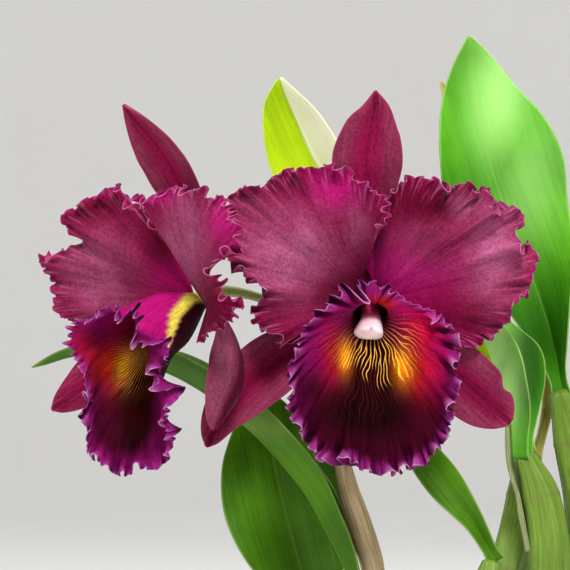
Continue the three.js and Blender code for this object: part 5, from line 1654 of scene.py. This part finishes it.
def chip_tree(finish):
    """Bark chips: flat blocks with broken faces, strewn over a surface and turned at random."""
    tree, entry = node_tree_for("orchid_bark_chips", [
        ("Count", "NodeSocketInt", 400),
        ("Length", "NodeSocketFloat", 13 * MM),
        ("Seed", "NodeSocketInt", 7),
    ])
    area = add(tree, "GeometryNodeAttributeStatistic",
               {"Geometry": entry["Geometry"], "Attribute": add(tree, "GeometryNodeInputMeshFaceArea")},
               "Sum", domain="FACE")
    density = add(tree, MATH, [entry["Count"], area], operation="DIVIDE")
    spots = add(tree, "GeometryNodeDistributePointsOnFaces",
                {"Mesh": entry["Geometry"], "Density": density, "Seed": entry["Seed"]}, "Points")
    block = add(tree, "GeometryNodeMeshCube",
                {"Size": (1.0, 0.62, 0.36), "Vertices X": 4, "Vertices Y": 3, "Vertices Z": 2}, "Mesh")
    place = add(tree, "GeometryNodeInputPosition")
    rough = add(tree, NOISE, {"Vector": place, "Scale": 2.6, "Detail": 2}, "Color")
    rough = add(tree, "ShaderNodeVectorMath", {0: rough, 1: (0.5, 0.5, 0.5)}, operation="SUBTRACT")
    rough = add(tree, "ShaderNodeVectorMath", {0: rough, 1: (0.55, 0.5, 0.35)}, operation="MULTIPLY")
    block = add(tree, "GeometryNodeSetPosition", {"Geometry": block, "Offset": rough})
    turn = add(tree, "FunctionNodeRandomValue",
               {0: (-0.55, -0.55, 0.0), 1: (0.55, 0.55, 6.28), "Seed": entry["Seed"]},
               data_type="FLOAT_VECTOR")
    size = add(tree, "FunctionNodeRandomValue", {2: 0.55, 3: 1.35, "Seed": entry["Seed"]}, 1,
               data_type="FLOAT")
    size = add(tree, MATH, [size, entry["Length"]], operation="MULTIPLY")
    chips = add(tree, "GeometryNodeInstanceOnPoints",
                {"Points": spots, "Instance": block, "Rotation": turn, "Scale": size})
    chips = add(tree, "GeometryNodeRealizeInstances", {"Geometry": chips})
    chips = add(tree, "GeometryNodeSetMaterial", {"Geometry": chips, "Material": finish})
    add(tree, "NodeGroupOutput", {"Geometry": chips})
    return tree


class ORCHID_OT_roots(bpy.types.Operator):
    """Builds the creeping rhizome and its roots"""

    bl_idname = "orchid.roots"
    bl_label = "Rhizome and roots"

    def execute(self, context):
        sizes = context.scene.orchid_plant
        finish = root_finish("root_velamen")
        path = Path(RHIZOME_PATH)
        shares = np.linspace(0.004, 0.996, 110)

        def radii(t, angle):
            ends = np.minimum(1, 0.45 + 9 * t * (1 - t))
            scars = 1 + 0.05 * np.cos(60 * t) + 0.05 * np.abs(np.sin(90 * t)) ** 6
            return 5.6 * ends * scars * (1 + 0.03 * np.sin(5 * angle + 30 * t))

        mesh = rod_mesh("rhizome_stem", [rod(path, shares, 26, radii, (0, 0, 1))])
        link_piece(mesh, "rhizome", finish)

        curve = bpy.data.curves.new("root_paths", "CURVE")
        curve.dimensions = "3D"
        for points in ROOT_PATHS:
            spline = curve.splines.new("POLY")
            spots = Path(points).at(np.linspace(0, 1, 40)) * MM
            spline.points.add(len(spots) - 1)
            spline.points.foreach_set("co", np.c_[spots, np.ones(len(spots))].ravel())
        guide = put("root_paths", curve)
        mesh = settled(guide, root_tree(finish), {"Radius": sizes.root_radius, "Sides": 14}, "root_tubes")
        link_piece(mesh, "rhizome", finish)
        return {"FINISHED"}


def turned(outline, sides, wobble=0.0):
    """Rings of points round the pot's axis, one for each (radius, height) of an outline."""
    radius, height = np.array(outline, float).T[:, :, None]
    angle = np.linspace(0, 2 * math.pi, sides, endpoint=False)
    r = radius * (1 + wobble * np.sin(3 * angle + 1))
    return np.stack([r * np.cos(angle), r * np.sin(angle), height + 0 * r], axis=-1)


def turned_mesh(name, outline, sides, wobble=0.0):
    """A closed body turned from an outline whose two ends lie on the pot's axis."""
    foot, tip = (np.array([0, 0, outline[end][1]]) for end in (0, -1))
    return rod_mesh(name, [(turned(outline[1:-1], sides, wobble), foot, tip)])


def rounded(corners, step):
    """An outline with points every step millimetres and its corners eased."""
    corners = np.array(corners, float)
    gaps = np.linalg.norm(np.diff(corners, axis=0), axis=1)
    at = np.concatenate([[0], np.cumsum(gaps)])
    s = np.linspace(0, at[-1], int(at[-1] / step))
    fine = np.stack([np.interp(s, at, corners[:, k]) for k in range(2)], axis=-1)
    kernel = np.hanning(7)[1:-1]
    kernel /= kernel.sum()
    eased = np.stack([np.convolve(fine[:, k], kernel, "same") for k in range(2)], axis=-1)
    eased[:3] = fine[:3]
    eased[-3:] = fine[-3:]
    return eased


class ORCHID_OT_bark(bpy.types.Operator):
    """Fills the pot with chipped bark"""

    bl_idname = "orchid.bark"
    bl_label = "Bark"

    def execute(self, context):
        sizes = context.scene.orchid_pot
        finish = bark_finish("chipped_fir_bark")
        inner = POT_FOOT - POT_WALL - 0.6
        floor = POT_FLOOR + 0.3
        outline = [(0, floor), (inner - 4, floor), (inner + 1, 12), (inner + 21, 100), (inner + 20, 103),
                   (40, BARK_LEVEL - 1), (0, BARK_LEVEL)]
        mesh = turned_mesh("bark_bed", rounded(outline, 3.0), 72)
        link_piece(mesh, "bark_mix", finish)

        rings = np.linspace(2, 62, 14)
        disc = turned(np.c_[rings, BARK_LEVEL - 2.5 * (rings / 62) ** 2], 48)
        ground = mesh_from("bark_ground", disc.reshape(-1, 3), ring_faces(14, 48)[:, [0, 3, 2, 1]])
        guide = put("bark_ground", ground)
        inputs = {"Count": sizes.chip_count, "Length": sizes.chip_length, "Seed": sizes.chip_seed}
        mesh = settled(guide, chip_tree(finish), inputs, "bark_chips")
        piece = link_piece(mesh, "bark_mix", finish)
        piece.data.polygons.foreach_set("use_smooth", np.zeros(len(piece.data.polygons), bool))
        return {"FINISHED"}


class ORCHID_OT_pot(bpy.types.Operator):
    """Builds the plain clay pot"""

    bl_idname = "orchid.pot"
    bl_label = "Pot"

    def execute(self, context):
        band = POT_HEIGHT - 24
        inner = POT_FOOT - POT_WALL
        mouth = inner + POT_SLOPE * POT_HEIGHT
        floor = inner + POT_SLOPE * POT_FLOOR
        outline = [
            (0, 0), (POT_FOOT - 3, 0), (POT_FOOT, 2.5), (POT_RIM - 5, band - 1.5),
            (POT_RIM - 1.5, band), (POT_RIM - 0.5, band + 3),
            (POT_RIM, POT_HEIGHT - 3), (POT_RIM - 2, POT_HEIGHT), (mouth + 1.5, POT_HEIGHT),
            (mouth, POT_HEIGHT - 2), (floor + 1, POT_FLOOR + 4), (floor - 4, POT_FLOOR), (0, POT_FLOOR),
        ]
        mesh = turned_mesh("pot_clay", rounded(outline, 2.0), 120, 0.002)
        clay = (*context.scene.orchid_pot.clay_colour, 1.0)
        link_piece(mesh, "pot", terracotta_finish("fired_terracotta", clay))
        return {"FINISHED"}


# ---------- stage

CAMERA_PLACE = (-0.0775, -1.15, 0.3575)
SENSOR_WIDTH = 36
PLANT_CENTRE = (-0.05, 0.0, 0.33)
AIR_STRENGTH = 0.4
BACKDROP_SIDES = 96


class ORCHID_OT_stage(bpy.types.Operator):
    """Sets the pale backdrop, the soft lights and the camera"""

    bl_idname = "orchid.stage"
    bl_label = "Stage"

    def execute(self, context):
        scene = context.scene
        sizes = scene.orchid_stage
        angle = np.linspace(0, math.pi / 2, 16)
        cove = [(2600 + 1400 * math.sin(a), 1400 - 1400 * math.cos(a)) for a in angle]
        outline = [(1, 0), (600, 0), (1600, 0)] + cove + [(4000, 3600)]
        rings = turned(outline, BACKDROP_SIDES).reshape(-1, 3) - np.array([0, 0, 0.3])
        mesh = mesh_from("backdrop", rings, ring_faces(len(outline), BACKDROP_SIDES)[:, ::-1])
        mesh.materials.append(backdrop_finish("studio_paper"))
        mesh.polygons.foreach_set("use_smooth", np.ones(len(mesh.polygons), bool))
        put("backdrop", mesh)

        camera = put("camera", bpy.data.cameras.new("camera"))
        camera.data.lens = sizes.lens
        camera.data.sensor_width = SENSOR_WIDTH
        camera.data.clip_end = 20
        camera.location = CAMERA_PLACE
        camera.rotation_euler = (math.pi / 2, 0, 0)
        scene.camera = camera

        lamps = (
            ("key", (0.1, -0.95, 1.3), PLANT_CENTRE, 0.4, sizes.key_power),
            ("fill", (-1.3, -1.1, 0.55), PLANT_CENTRE, 1.0, sizes.fill_power),
            ("back", (0.5, 1.2, 1.1), PLANT_CENTRE, 0.9, 0.4 * sizes.key_power),
            ("room", (0.0, 0.001, 3.4), (0.0, 0.0, 0.0), 3.0, sizes.room_power),
        )
        for name, place, target, size, power in lamps:
            lamp = bpy.data.lights.new(name, "AREA")
            lamp.shape = "DISK"
            lamp.size = size
            lamp.energy = power
            light = put(name, lamp)
            light.location = place
            way = np.array(place) - np.array(target)
            flat = math.hypot(way[0], way[1])
            light.rotation_euler = (math.atan2(flat, way[2]), 0, math.atan2(way[0], -way[1]))
            light.visible_camera = False

        world = bpy.data.worlds.new("studio_air")
        world.use_nodes = True
        sky = world.node_tree.nodes["Background"]
        sky.inputs["Color"].default_value = (*sizes.air_tint, 1)
        sky.inputs["Strength"].default_value = AIR_STRENGTH
        scene.world = world
        scene.view_settings.view_transform = "Standard"
        return {"FINISHED"}


class ORCHID_PT_panel(bpy.types.Panel):
    """Lists the orchid's sizes and its pieces"""

    bl_label = "Cattleya orchid"
    bl_idname = "ORCHID_PT_panel"
    bl_space_type = "VIEW_3D"
    bl_region_type = "UI"
    bl_category = "Orchid"

    def draw(self, context):
        layout = self.layout
        for label, group in SETTINGS.items():
            box = layout.box()
            box.label(text=group.__doc__)
            for key in group.__annotations__:
                box.prop(getattr(context.scene, label), key)
        for operator in OPERATORS:
            layout.operator(operator.bl_idname)


SETTINGS = {
    "orchid_flowers": OrchidFlowerSettings,
    "orchid_plant": OrchidPlantSettings,
    "orchid_pot": OrchidPotSettings,
    "orchid_stage": OrchidStageSettings,
}
OPERATORS = (
    ORCHID_OT_stage, ORCHID_OT_pot, ORCHID_OT_bark, ORCHID_OT_roots, ORCHID_OT_bulbs,
    ORCHID_OT_leaves, ORCHID_OT_sheaths, ORCHID_OT_stalk, ORCHID_OT_sepals, ORCHID_OT_petals,
    ORCHID_OT_columns, ORCHID_OT_lips,
)


def register():
    for group in SETTINGS.values():
        bpy.utils.register_class(group)
    for operator in OPERATORS:
        bpy.utils.register_class(operator)
    bpy.utils.register_class(ORCHID_PT_panel)
    for label, group in SETTINGS.items():
        setattr(bpy.types.Scene, label, PointerProperty(type=group))


def unregister():
    for label in SETTINGS:
        delattr(bpy.types.Scene, label)
    for kind in (ORCHID_PT_panel, *reversed(OPERATORS), *reversed(SETTINGS.values())):
        bpy.utils.unregister_class(kind)


def main():
    register()
    for operator in OPERATORS:
        group, name = operator.bl_idname.split(".")
        getattr(getattr(bpy.ops, group), name)()


if __name__ == "__main__":
    main()
